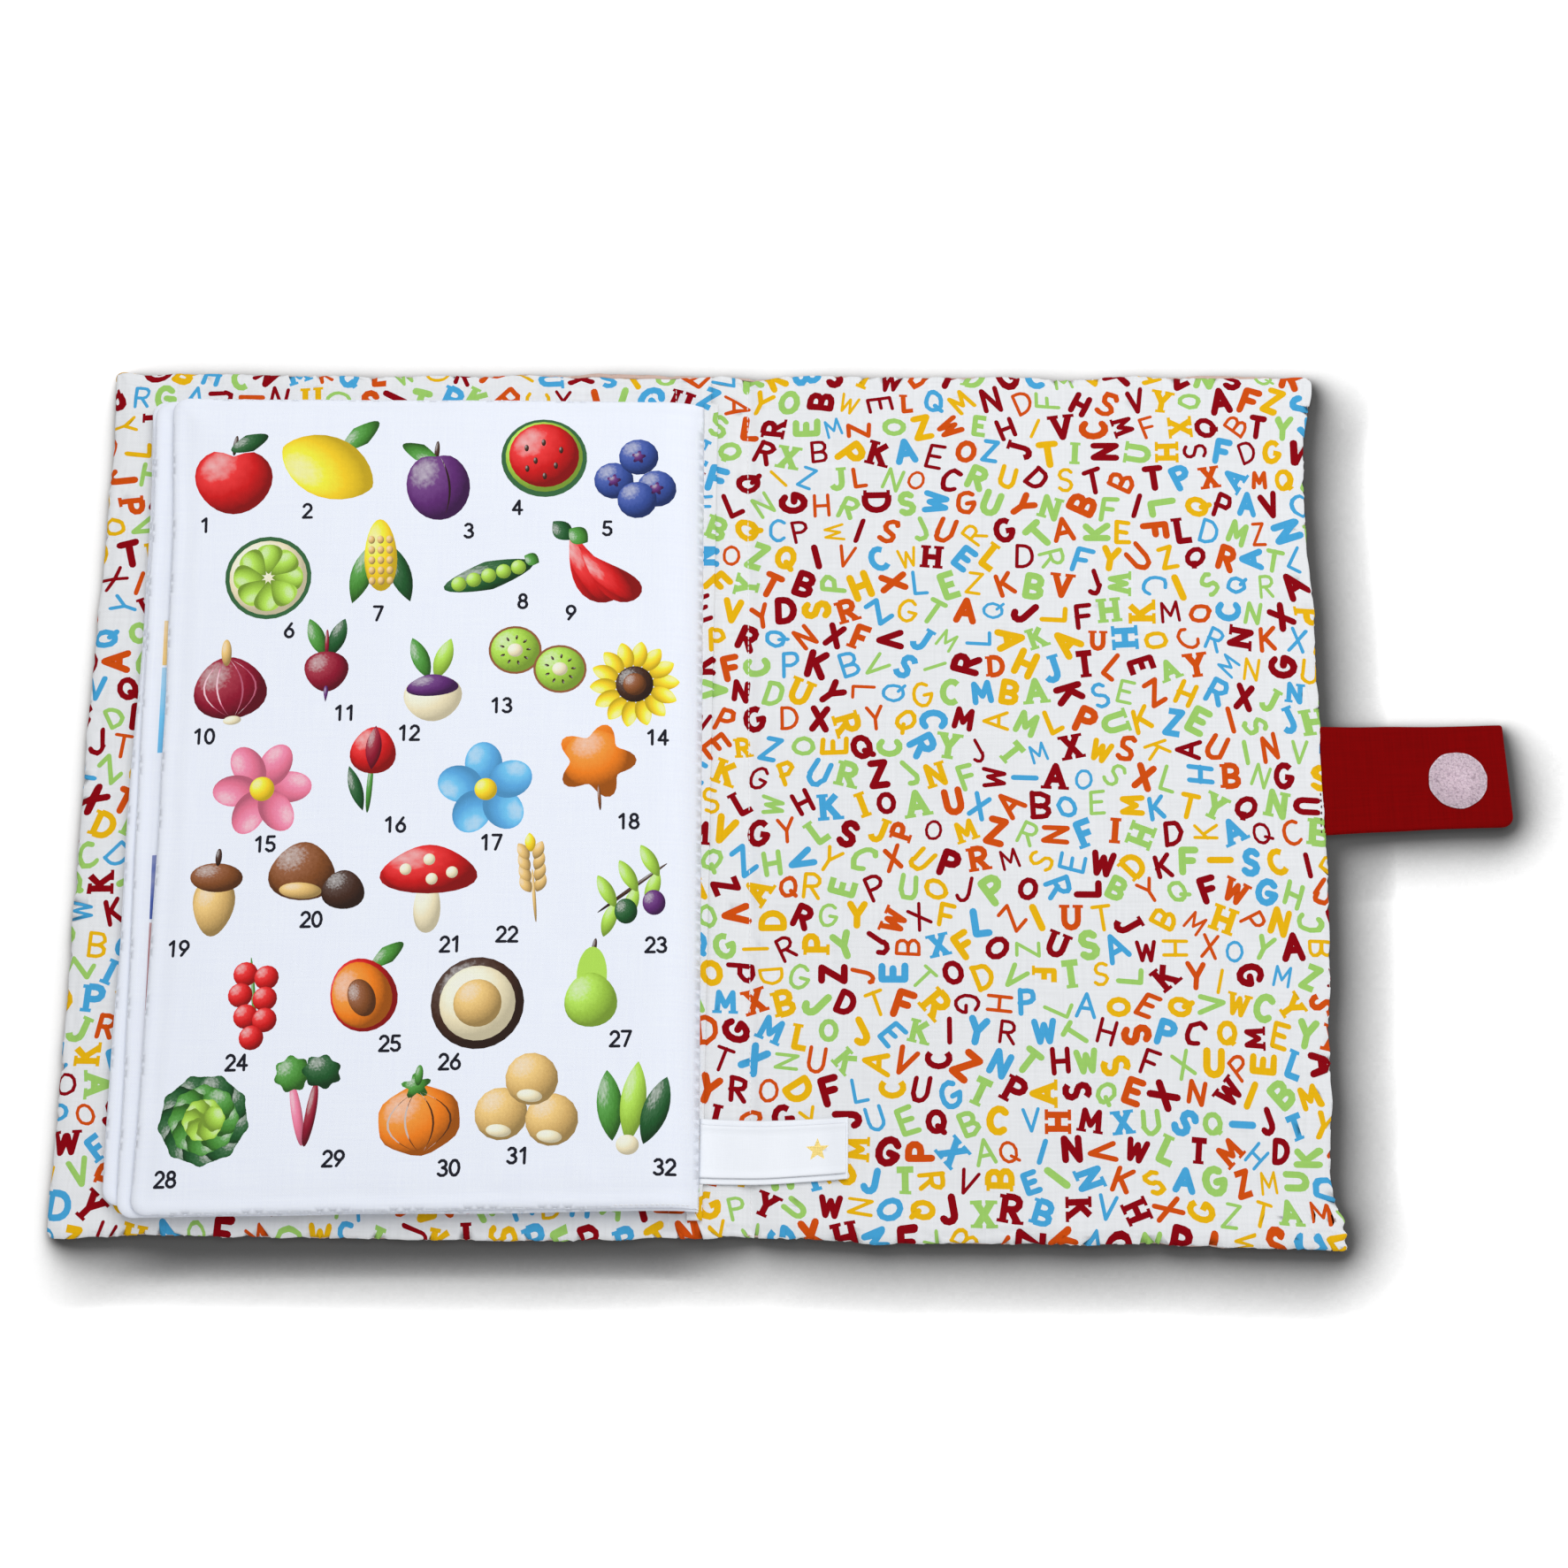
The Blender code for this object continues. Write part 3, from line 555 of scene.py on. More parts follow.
def letter_strokes():
    """Every capital letter as pen strokes, on a body one high."""
    stem, bowl = [(0, 0), (0, 1)], [(0, 1)] + arc(0.32, 0.74, 0.28, 0.26, 90, -90, 6) + [(0, 0.48)]
    return {
        "A": [[(0, 0), (0.38, 1), (0.76, 0)], [(0.16, 0.36), (0.60, 0.36)]],
        "B": [stem, bowl, [(0.2, 0.48)] + arc(0.34, 0.24, 0.30, 0.24, 90, -90, 6) + [(0, 0)]],
        "C": [arc(0.40, 0.5, 0.38, 0.5, 48, 312, 11)],
        "D": [stem, [(0, 1)] + arc(0.24, 0.5, 0.44, 0.5, 90, -90, 9) + [(0, 0)]],
        "E": [[(0.58, 1), (0, 1), (0, 0), (0.60, 0)], [(0, 0.52), (0.48, 0.52)]],
        "F": [[(0.58, 1), (0, 1), (0, 0)], [(0, 0.52), (0.46, 0.52)]],
        "G": [arc(0.40, 0.5, 0.38, 0.5, 48, 340, 11) + [(0.78, 0.46), (0.46, 0.46)]],
        "H": [stem, [(0.62, 0), (0.62, 1)], [(0, 0.5), (0.62, 0.5)]],
        "I": [stem],
        "J": [[(0.50, 1), (0.50, 0.30)] + arc(0.26, 0.28, 0.24, 0.28, 0, -160, 6)],
        "K": [stem, [(0.58, 1), (0, 0.42)], [(0.18, 0.6), (0.62, 0)]],
        "L": [[(0, 1), (0, 0), (0.54, 0)]],
        "M": [[(0, 0), (0.06, 1), (0.41, 0.30), (0.76, 1), (0.82, 0)]],
        "N": [[(0, 0), (0, 1), (0.62, 0), (0.62, 1)]],
        "O": ring(0.40, 0.5, 0.40, 0.5),
        "P": [stem, bowl],
        "Q": ring(0.40, 0.5, 0.40, 0.5) + [[(0.48, 0.28), (0.80, -0.06)]],
        "R": [stem, bowl, [(0.26, 0.48), (0.62, 0)]],
        "S": [arc(0.32, 0.75, 0.27, 0.25, 35, 265, 7) + arc(0.32, 0.25, 0.29, 0.25, 85, -145, 7)],
        "T": [[(0, 1), (0.68, 1)], [(0.34, 1), (0.34, 0)]],
        "U": [[(0, 1), (0, 0.34)] + arc(0.31, 0.34, 0.31, 0.34, 180, 360, 7) + [(0.62, 1)]],
        "V": [[(0, 1), (0.34, 0), (0.68, 1)]],
        "W": [[(0, 1), (0.22, 0), (0.45, 0.82), (0.68, 0), (0.90, 1)]],
        "X": [[(0, 0), (0.62, 1)], [(0, 1), (0.62, 0)]],
        "Y": [[(0, 1), (0.32, 0.48), (0.64, 1)], [(0.32, 0.48), (0.32, 0)]],
        "Z": [[(0.02, 1), (0.60, 1), (0, 0), (0.62, 0)]],
    }


def pen_line(path, width, round_start, round_end):
    """The outline of an evenly wide pen line that has no sharp corner."""
    ways = [(b - a).normalized() for a, b in zip(path, path[1:])]
    left, right = [], []
    for n, p in enumerate(path):
        before, after = ways[max(n - 1, 0)], ways[min(n, len(ways) - 1)]
        normal = Vector((-before.y - after.y, before.x + after.x)).normalized()
        reach = width / 2 / normal.dot(Vector((-before.y, before.x)))
        left.append(p + normal * reach)
        right.append(p - normal * reach)

    def cap(end, way, rounded):
        normal = Vector((-way.y, way.x))
        turns = [0.25 * pi, 0.5 * pi, 0.75 * pi] if rounded else []
        return [end + (normal * cos(a) + way * sin(a)) * width / 2 for a in turns]

    loop = left + cap(path[-1], ways[-1], round_end) + right[::-1] + cap(path[0], -ways[0], round_start)
    return [(p.x, p.y) for p in loop]


def stroke_outlines(points, width, round_ends):
    """The outlines of a pen stroke, which is lifted and set down again at each sharp corner."""
    path = [Vector(p) for p in points]
    path = [p for n, p in enumerate(path) if n == 0 or (p - path[n - 1]).length > 1e-6]
    sharp = [n for n in range(1, len(path) - 1)
             if (path[n] - path[n - 1]).normalized().dot((path[n + 1] - path[n]).normalized()) < 0.35]
    ends = [0, *sharp, len(path) - 1]
    return [pen_line(path[a:b + 1], width, round_ends or a > 0, round_ends or b < ends[-1])
            for a, b in zip(ends, ends[1:])]


# All in shares of a letter's height: how wide each pen is and how far a hand strays with it.
PEN_WIDTHS = {"bold": 0.315, "slab": 0.285, "hand": 0.225, "thin": 0.16}
PEN_SHAKES = {"bold": 0.0, "slab": 0.0, "hand": 0.035, "thin": 0.015}
SLAB_HALF, SLAB_WIDTH = 0.24, 0.15


def turned(x, y, angle, middle):
    """A place that is turned, and then moved to this middle."""
    return (middle[0] + x * cos(angle) - y * sin(angle), middle[1] + x * sin(angle) + y * cos(angle))


def letter_patches(strokes, middle, high, turn, style, ink, chance):
    """The patches of one printed letter: bold and round, with slab feet, drawn by hand, or thin."""
    shake, slant = PEN_SHAKES[style], chance.uniform(-2, 5) * PEN_SHAKES[style]
    wide = max(x for stroke in strokes for x, _ in stroke)
    drawn = [([(x + chance.uniform(-shake, shake), y + chance.uniform(-shake, shake)) for x, y in stroke],
              PEN_WIDTHS[style]) for stroke in strokes]
    if style == "slab":
        for stroke in strokes:
            for (x, y), other in ((stroke[0], stroke[1]), (stroke[-1], stroke[-2])):
                if abs(y - other[1]) > 1.2 * abs(x - other[0]) and min(abs(y), abs(y - 1)) < 0.05:
                    drawn.append(([(x - SLAB_HALF, y), (x + SLAB_HALF, y)], SLAB_WIDTH))
    made = []
    for stroke, pen in drawn:
        for outline in stroke_outlines(stroke, pen, round_ends=style != "slab"):
            placed = [turned((x - wide / 2 + slant * (y - 0.5)) * high, (y - 0.5) * high, turn, middle)
                      for x, y in outline]
            made.append((ink, placed, None))
    return made


LETTER_INKS = [woven(name, colour, depth=0.06, sheen=0.0, gloss=0.08) for name, colour in (
    ("print_dark_red", (138, 0, 14)), ("print_orange", (208, 78, 12)), ("print_yellow", (232, 180, 14)),
    ("print_green", (156, 204, 104)), ("print_blue", (70, 164, 216)))]
LINING_COTTON = woven("lining_cotton", (231, 233, 236), depth=0.07)
INK_SHARES, LETTER_PITCH, LETTER_ROOM = (27, 17, 18, 20, 18), (10.1 * MM, 9.9 * MM), 1.3 * MM
LETTER_HIGH, LETTER_STRAY, NEIGHBOUR_REACH, TIGHT_ROOM = (7.2, 8.2), 1.3, 14 * MM, 0.6 * MM
# A letter is tried in this many places, and made smaller at the two attempts that are named.
LETTER_TRIES, SMALLER_TRIES, SMALLER = 24, (8, 16), 0.88


def dense(loop):
    """Points about a millimetre apart along a closed loop."""
    points = []
    for (ax, ay), (bx, by) in zip(loop, loop[1:] + loop[:1]):
        points += [(ax + (bx - ax) * share, ay + (by - ay) * share)
                   for share in steps(0, 1, 1.1 * MM / max(hypot(bx - ax, by - ay), 1.1 * MM))[:-1]]
    return points


def placed_letter(strokes, x, y, high, style, ink, near, chance):
    """The roomiest of several places for a letter near (x, y): its room, middle, points and patches."""
    best = (-1.0, None, None, None)
    for attempt in range(LETTER_TRIES):
        if attempt >= SMALLER_TRIES[0] and best[0] > TIGHT_ROOM:
            break
        if attempt in SMALLER_TRIES:
            high *= SMALLER
        turns = (chance.uniform(-26, 26), chance.uniform(-95, 95), 90)
        turn = radians(chance.choices(turns, (6, 5, 1))[0])
        spot = (x + chance.uniform(-LETTER_STRAY, LETTER_STRAY) * MM,
                y + chance.uniform(-LETTER_STRAY, LETTER_STRAY) * MM)
        patches = letter_patches(strokes, spot, high, turn, style, 1 + ink, chance)
        points = np.concatenate([dense(loop) for _, loop, _ in patches])
        room = LETTER_ROOM
        if near is not None:
            room = min(room, np.linalg.norm(points[:, None] - near[None], axis=2).min())
        if room > best[0]:
            best = (room, spot, points, patches)
    return best


def letter_print():
    """A scatter of capital letters in staggered rows, each where it finds room beside the last ones."""
    chance = random.Random(26)
    strokes, names, made, printed = letter_strokes(), [], [], []
    row, ink, y = 0, 0, -FLAT_HEIGHT + 2 * MM
    while y < FLAT_HEIGHT + 3 * MM:
        x = -FLAT_WIDTH + (0.5 if row % 2 else 0.0) * LETTER_PITCH[0]
        while x < FLAT_WIDTH + 4 * MM:
            if not names:
                names = chance.sample(sorted(strokes), 26)
            letter = names.pop()
            ink = chance.choice([n for n in range(5) for _ in range(INK_SHARES[n]) if n != ink])
            style = chance.choices(list(PEN_WIDTHS), (6, 6, 3, 3) if ink == 0 else (4, 4, 4, 3))[0]
            high = chance.uniform(*LETTER_HIGH) * MM * (0.86 if letter in "MWOQ" else 1.0)
            near = [points for spot, points in printed[-130:]
                    if hypot(spot[0] - x, spot[1] - y) < NEIGHBOUR_REACH]
            near = np.concatenate(near) if near else None
            _, spot, points, patches = placed_letter(strokes[letter], x, y, high, style, ink, near, chance)
            made += patches
            printed.append((spot, points))
            x += LETTER_PITCH[0]
        y += LETTER_PITCH[1]
        row += 1
    return made


scatter = letter_print()
# Lines of the lining's grid: closer together over the crease.
inner_lines = [*steps(3 * MM, 27 * MM, 1.5 * MM), *steps(30 * MM, FLAT_WIDTH - RIM_ZONE, GRID_STEP)]
for side, half, panel, body in ((-1, "front", "front_lining", "front_cover"),
                                (1, "back", "back_lining", "back_cover")):
    lining = cover_half(f"lining_{half}", side, inner_lines, scatter, lining_place,
                        [LINING_COTTON, *LETTER_INKS], False)
    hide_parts(panel, *(["spine_lining"] if side > 0 else []))

# Binding strip. A flat strip of the lining's own printed cotton down the middle of the spine, under
# the roots of the leaves. One row of stitches goes through it, the leaves and the spine.

BINDING_HALF, STRIP_TOP, STRIP_CLOTH = 2.5 * MM, 5.5 * MM, 0.45 * MM
STRIP_LOW, STRIP_HIGH = -2.5 * MM - 144.5 * MM, -2.5 * MM + 144.5 * MM
# A stitch: (share of its length, share of its full thickness).
STITCH_RINGS = ((0.0, 0.5), (0.18, 0.85), (0.5, 1.0), (0.82, 0.85), (1.0, 0.5))


def dashes(points, pitch, length):
    """The ends of each stitch along a dense line of points."""
    reach = [0.0]
    for a, b in zip(points, points[1:]):
        reach.append(reach[-1] + (b - a).length)

    def at(distance):
        n = min(int(np.searchsorted(reach, distance, side="right")) - 1, len(points) - 2)
        share = (distance - reach[n]) / max(reach[n + 1] - reach[n], 1e-9)
        return points[n].lerp(points[n + 1], share)

    count = int((reach[-1] - length) / pitch)
    return [(at(n * pitch), at(n * pitch + length)) for n in range(count + 1)]


def close_tube(bm, rings):
    """The walls between rings of vertices, and a cap at each end."""
    for low, high in zip(rings, rings[1:]):
        for n in range(len(low)):
            bm.faces.new((low[n], low[(n + 1) % len(low)], high[(n + 1) % len(low)], high[n]))
    bm.faces.new(rings[0][::-1])
    bm.faces.new(rings[-1])


def stitch_row(name, points, pitch, length, thick, finish):
    """A row of stitches along a dense line of points: short thread bars with rounded ends."""
    bm = bmesh.new()
    for a, b in dashes(points, pitch, length):
        way = (b - a).normalized()
        side = Vector((0, 0, 1)).cross(way).normalized()
        top = way.cross(side)
        rings = []
        for share, size in STITCH_RINGS:
            middle = a + (b - a) * share + top * (thick * 0.3 * (size - 0.5))
            rings.append([bm.verts.new(middle + (side * cos(q) + top * sin(q)) * thick / 2 * size)
                          for q in np.linspace(0, 2 * pi, 7)[:-1]])
        close_tube(bm, rings)
    bmesh.ops.recalc_face_normals(bm, faces=bm.faces)
    made = new_piece(name, [], [], [finish])
    bm.to_mesh(made.data)
    bm.free()
    made.data.shade_smooth()
    return made


def tape_place(s, t):
    """The strip's upper face, with its two rolled edges."""
    edge = (BINDING_HALF - abs(s)) / MM
    rolled = 0.12 * MM * (1 - bell(edge, 0.35)) * (edge > 0.2)
    return Vector((s, t, STRIP_TOP - rolled + 0.02 * MM * sin(t / MM * 4.4)))


border = sheet_border(-BINDING_HALF, BINDING_HALF, STRIP_LOW, STRIP_HIGH, 0.6 * MM)
lines = (steps(-BINDING_HALF, BINDING_HALF, 0.4 * MM), steps(STRIP_LOW, STRIP_HIGH, 1.2 * MM))
strip = inlaid_cloth("binding_cloth", border, lines, scatter, tape_place, STRIP_CLOTH,
                     [LINING_COTTON, *LETTER_INKS])
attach(strip, "spine")
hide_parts("binding_strip")

WHITE_THREAD = woven("white_thread", (246, 246, 248), threads=5200, depth=0.18, roughness=0.6, sheen=0.3)
binding_line = [tape_place(-0.7 * MM - 0.0104 * t, t) + Vector((0, 0, 0.05 * MM))
                for t in steps(STRIP_LOW + 2 * MM, STRIP_HIGH - 2 * MM, 2 * MM)]
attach(stitch_row("binding_stitches", binding_line, 3.0 * MM, 2.3 * MM, 0.34 * MM, WHITE_THREAD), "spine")

# Leaves. Each is two printed page cloths of bluish white cotton, sewn round three sides and
# turned out over a thin wadding. Their roots are sewn to the spine through the binding strip,
# so the turned leaves roll over in the gutter and lie in a stack on the front panel.

LEAF_STACK, LEAF_RISE, LEAF_GAP = 4.95 * MM, 2.7 * MM, 0.3 * MM
ROOT_STACK, ROOT_RISE = 5.6 * MM, 0.50 * MM
PAGE_HALF_HEIGHT, PAGE_CORNER = 143.5 * MM, 6.0 * MM
PAGE_REACH, PAGE_CLOTH, PAGE_THICKNESS = 1.5 * MM, 2.0 * MM, 0.3 * MM
PAGE_SPARE = PAGE_CLOTH - PAGE_REACH
# Each leaf's corners on the open cover, in mm: outer head, root head, root foot, outer foot.
LEAF_CORNERS = {
    1: ((-195.0, 139.6), (-2.4, 139.0), (1.0, -143.2), (-192.6, -143.2)),
    2: ((-197.6, 141.0), (-2.4, 139.2), (1.1, -143.6), (-194.2, -144.2)),
    3: ((-195.6, 140.2), (-2.5, 139.3), (1.2, -144.6), (-188.4, -148.6)),
    4: ((-189.5, 140.4), (-2.6, 139.4), (1.3, -143.9), (-183.4, -148.2)),
}
# How far a leaf's outer edge is drawn in: (place along the edge, how far), in mm.
LEAF_BOWS = {2: ((-145, 0.0), (-40, 0.3), (30, 1.1), (90, 1.3), (130, 0.4), (142, 0.0)),
             4: ((-148, 0.0), (-109, 0.9), (-60, 1.9), (0, 2.6), (50, 2.8), (90, 2.2), (125, 0.6),
                 (141, 0.0))}
PAGE_WIDTHS = {number: (abs(c[0][0] - c[1][0]) + abs(c[3][0] - c[2][0])) / 2 * MM
               for number, c in LEAF_CORNERS.items()}


def stack_height(level, gap, x, y):
    """Height of a leaf's face in the stack: rolled down at the root and sunk at the outer edges."""
    root_x = MM * (1.3 - 3.9 * (y + 143.9 * MM) / (283.3 * MM))
    left = max(0, 1 - max(root_x - x, 0) / ((6.0 + 3.6 * level) * MM))
    side_edge = min(x + 189 * MM - 6.5 * MM * (140 * MM - y) / (288 * MM), 140 * MM - y)
    sink = max(0.24 * exp(-max(side_edge, -2 * MM) / (13 * MM)),
               0.13 * exp(-max(y + 147 * MM, -2 * MM) / (8 * MM)))
    flat = LEAF_STACK + LEAF_RISE * level * (1 - sink) - gap
    flat += 0.08 * level * MM * ripple(x, y, 48 * MM, 4) + 0.03 * level * MM * ripple(x, y, 17 * MM, 9)
    flat += 0.14 * level * fold_height(-x, y)
    root = ROOT_STACK + ROOT_RISE * level - gap * 0.25
    return root + (flat - root) * (1 - left ** 4)


def from_seam(s, t, far, half, corner):
    """How far in from its seam a flat point of a bag is, and the way out. The bag's end at zero is open."""
    way, side = (1 if s > 0 else -1), (1 if t > 0 else -1)
    over_x, over_y = abs(s) - far, abs(t) - half
    if over_x > -corner and over_y > -corner:
        out = Vector((over_x + corner, over_y + corner))
        return corner - out.length, Vector((out.x * way, out.y * side)).normalized()
    if over_x > over_y:
        return -over_x, Vector((way, 0))
    return -over_y, Vector((0, side))


def bagged(s, t, far, half, corner, reach, cloth):
    """A flat point of a bag, drawn in where the cloth turns over the edge.

    Gives its place in plan, how far in from the seam it was, and the angle that it has turned through.
    """
    spare = cloth - reach
    inward, normal = from_seam(s, t, far + spare, half + spare, corner)
    angle = pi / 2 * min(max(inward / cloth, 0), 1)
    shift = reach * (1 - cos(angle)) - (inward - spare) if inward < cloth else 0
    return Vector((s, t)) - normal * shift, inward, angle


def page_place(number, upper):
    """The surface of one page cloth, from its flat place, measured back from the root."""
    corners = [Vector(c) * MM for c in LEAF_CORNERS[number]]
    wide = PAGE_WIDTHS[number]

    def place(s, t):
        plan, inward, angle = bagged(s, t, wide, PAGE_HALF_HEIGHT, PAGE_CORNER, PAGE_REACH, PAGE_CLOTH)
        u, v = -plan.x / wide, (plan.y + PAGE_HALF_HEIGHT) / (2 * PAGE_HALF_HEIGHT)
        head, foot = corners[1].lerp(corners[0], u), corners[2].lerp(corners[3], u)
        spot = foot.lerp(head, v)
        if number in LEAF_BOWS:
            spot.x += follow(LEAF_BOWS[number], spot.y) * u
        spot += Vector((0.35 * MM * ripple(0, t, 38 * MM, number) * ease(u * 3),
                        0.3 * MM * ripple(s, 0, 44 * MM, number)))
        high = stack_height(number, LEAF_GAP, spot.x, spot.y)
        low = stack_height(number - 1, 0, spot.x, spot.y)
        # A soft ridge over the seam allowance and a fainter one inside it, then the thinner middle.
        wander = 0.8 * MM * ripple(s, t, 40 * MM, 23)
        ridge = 0.46 * MM * bell(inward - 2.6 * MM, 1.6 * MM) - 0.14 * MM * bell(inward - 6.0 * MM, 1.8 * MM)
        ridge += 0.13 * MM * bell(inward - 10.5 * MM - wander, 1.8 * MM) * (s < 0)
        share = sin(angle) * (0.72 + 0.28 * ease(inward / (9 * MM)))
        rise = ((high - low) / 2 * share + ridge * share) * (1 if upper else -1)
        return Vector((spot.x, spot.y, (high + low) / 2 + rise))

    return place


def shade_group():
    """Light on a printed round thing, as a picture shows it: one at its bright side, zero in its shade."""
    group, given, out = effect_group("picture_shade", ["Grain scale", "Grain"], ["Light"])
    seen = node(group, "UVMap", {}, uv_map="picture").outputs[0]

    def dot(a, b):
        return node(group, "VectorMath", {0: a, 1: b}, operation="DOT_PRODUCT").outputs["Value"]

    left = maths(group, "MAXIMUM", maths(group, "SUBTRACT", 1.0, dot(seen, seen)), 0.0)
    facing = maths(group, "MULTIPLY", maths(group, "SQRT", left), 0.72)
    light = maths(group, "ADD", dot(seen, (-0.42, 0.46, 0.0)), facing)
    speckle = node(group, "TexNoise", {"Detail": 3.0, "Scale": given["Grain scale"], "Vector": seen})
    uneven = maths(group, "MULTIPLY", maths(group, "SUBTRACT", speckle.outputs["Fac"], 0.5), given["Grain"])
    feed(group, out, {"Light": maths(group, "ADD", light, uneven)})
    return group


PICTURE_SHADE = shade_group()


def picture_ink(name, colour, grain_scale, grain, depth=0.62):
    """Printed colour that is shaded like a photographed fruit, on the page's own weave."""
    made = woven(name, colour, depth=0.03, sheen=0.0)
    tree, bright = made.node_tree, made.diffuse_color[:3]
    gloss = [min(c * 1.35 + 0.03, 0.9) for c in bright]
    light = node(tree, "Group", {"Grain scale": grain_scale, "Grain": grain * 0.5}, node_tree=PICTURE_SHADE)
    ramp = node(tree, "ValToRGB", {"Fac": light.outputs["Light"]})
    stops = ramp.color_ramp.elements
    stops[0].position, stops[0].color = 0.0, (*[c * (1 - depth) for c in bright], 1)
    stops[1].position, stops[1].color = 1.0, (*[c + (0.9 - c) * 0.5 for c in gloss], 1)
    for place, tone in ((0.50, bright), (0.80, gloss)):
        stops.new(place).color = (*tone, 1)
    # The print takes the weave's painted shade too, darker between the threads.
    weave = next(n for n in tree.nodes if n.type == "MIX")
    feed(tree, weave, {"A": (0.94, 0.94, 0.94, 1), "B": (1, 1, 1, 1)})
    both = node(tree, "Mix", {"Factor": 1.0, "A": ramp.outputs["Color"], "B": weave.outputs["Result"]},
                data_type="RGBA", blend_type="MULTIPLY")
    feed(tree, tree.nodes["Principled BSDF"], {"Base Color": both.outputs["Result"]})
    return made


PAGE_COTTON = woven("page_cotton", (237, 242, 255), depth=0.03)
PICTURE_INKS = {"number": woven("print_number", (14, 15, 28), depth=0.1, sheen=0.0)}
# Each ink's colour in display values, the size and strength of its grain, and the depth of its shade.
for name, given in {
        "red": ((206, 22, 24), 4, 0.5), "crimson": ((140, 14, 44), 8, 0.6),
        "orange": ((240, 128, 28), 9, 0.4), "yellow": ((246, 208, 40), 7, 0.35, 0.40),
        "cream": ((238, 226, 190), 9, 0.4, 0.35), "straw": ((214, 176, 108), 10, 0.6, 0.5),
        "brown": ((128, 74, 36), 9, 0.8), "bark": ((62, 36, 24), 9, 0.9),
        "leaf": ((70, 138, 52), 6, 0.9), "deep_green": ((28, 84, 40), 7, 1.0),
        "lime": ((158, 200, 70), 8, 0.6, 0.45), "purple": ((92, 40, 110), 6, 0.6),
        "pink": ((232, 120, 150), 6, 0.5, 0.4), "blue": ((52, 76, 150), 6, 0.6),
        "sky": ((92, 170, 226), 3, 0.4, 0.3)}.items():
    PICTURE_INKS[name] = picture_ink(f"picture_{name}", *given)
INK_NUMBERS = {name: n + 1 for n, name in enumerate(PICTURE_INKS)}


def blob(wide, high, taper=0.0, point=0.0, dent=0.0, bend=0.0, lobes=0, deep=0.0, count=26):
    """One of a family of rounded outlines: tapered, pointed, dented, bent or lobed."""
    loop = []
    for a in np.linspace(0, 2 * pi, count + 1)[:-1]:
        x, y = sin(a) * abs(sin(a)) ** point * (1 - taper * cos(a)), cos(a)
        y -= dent * exp(-((x / 0.32) ** 2)) * (y > 0)
        swell = 1 + deep * cos(lobes * a)
        loop.append(((x + bend * (y * y - 0.5)) * wide / 2 * swell, y * high / 2 * swell))
    return loop


def patch(ink, x, y, wide, high, turn=0.0, picture=True, **form):
    """One shape of a motif, in mm: its ink, its outline round the motif's middle, and its picture."""
    a = radians(turn)
    loop = [turned(px, py, a, (x, y)) for px, py in blob(wide, high, **form)]
    return ink, loop, (x, y, wide / 2, high / 2, a) if picture else None


def around(count, radius, make, start=0.0):
    """The same shape repeated round a middle: make(x, y, turn in degrees)."""
    return [make(radius * cos(radians(a)), radius * sin(radians(a)), a - 90)
            for a in [start + 360 * n / count for n in range(count)]]


def heap(ink, places, size):
    """Round berries or nuts at the given places."""
    return [patch(ink, x, y, size, size, count=16) for x, y in places]


def ribs(ink, bows, y, high):
    """Thin curved lines in pairs, each (place, bow), to the right and left of the middle."""
    return [patch(ink, side * x, y, 0.6, high, point=1, bend=-side * bow)
            for x, bow in bows for side in (-1, 1)]


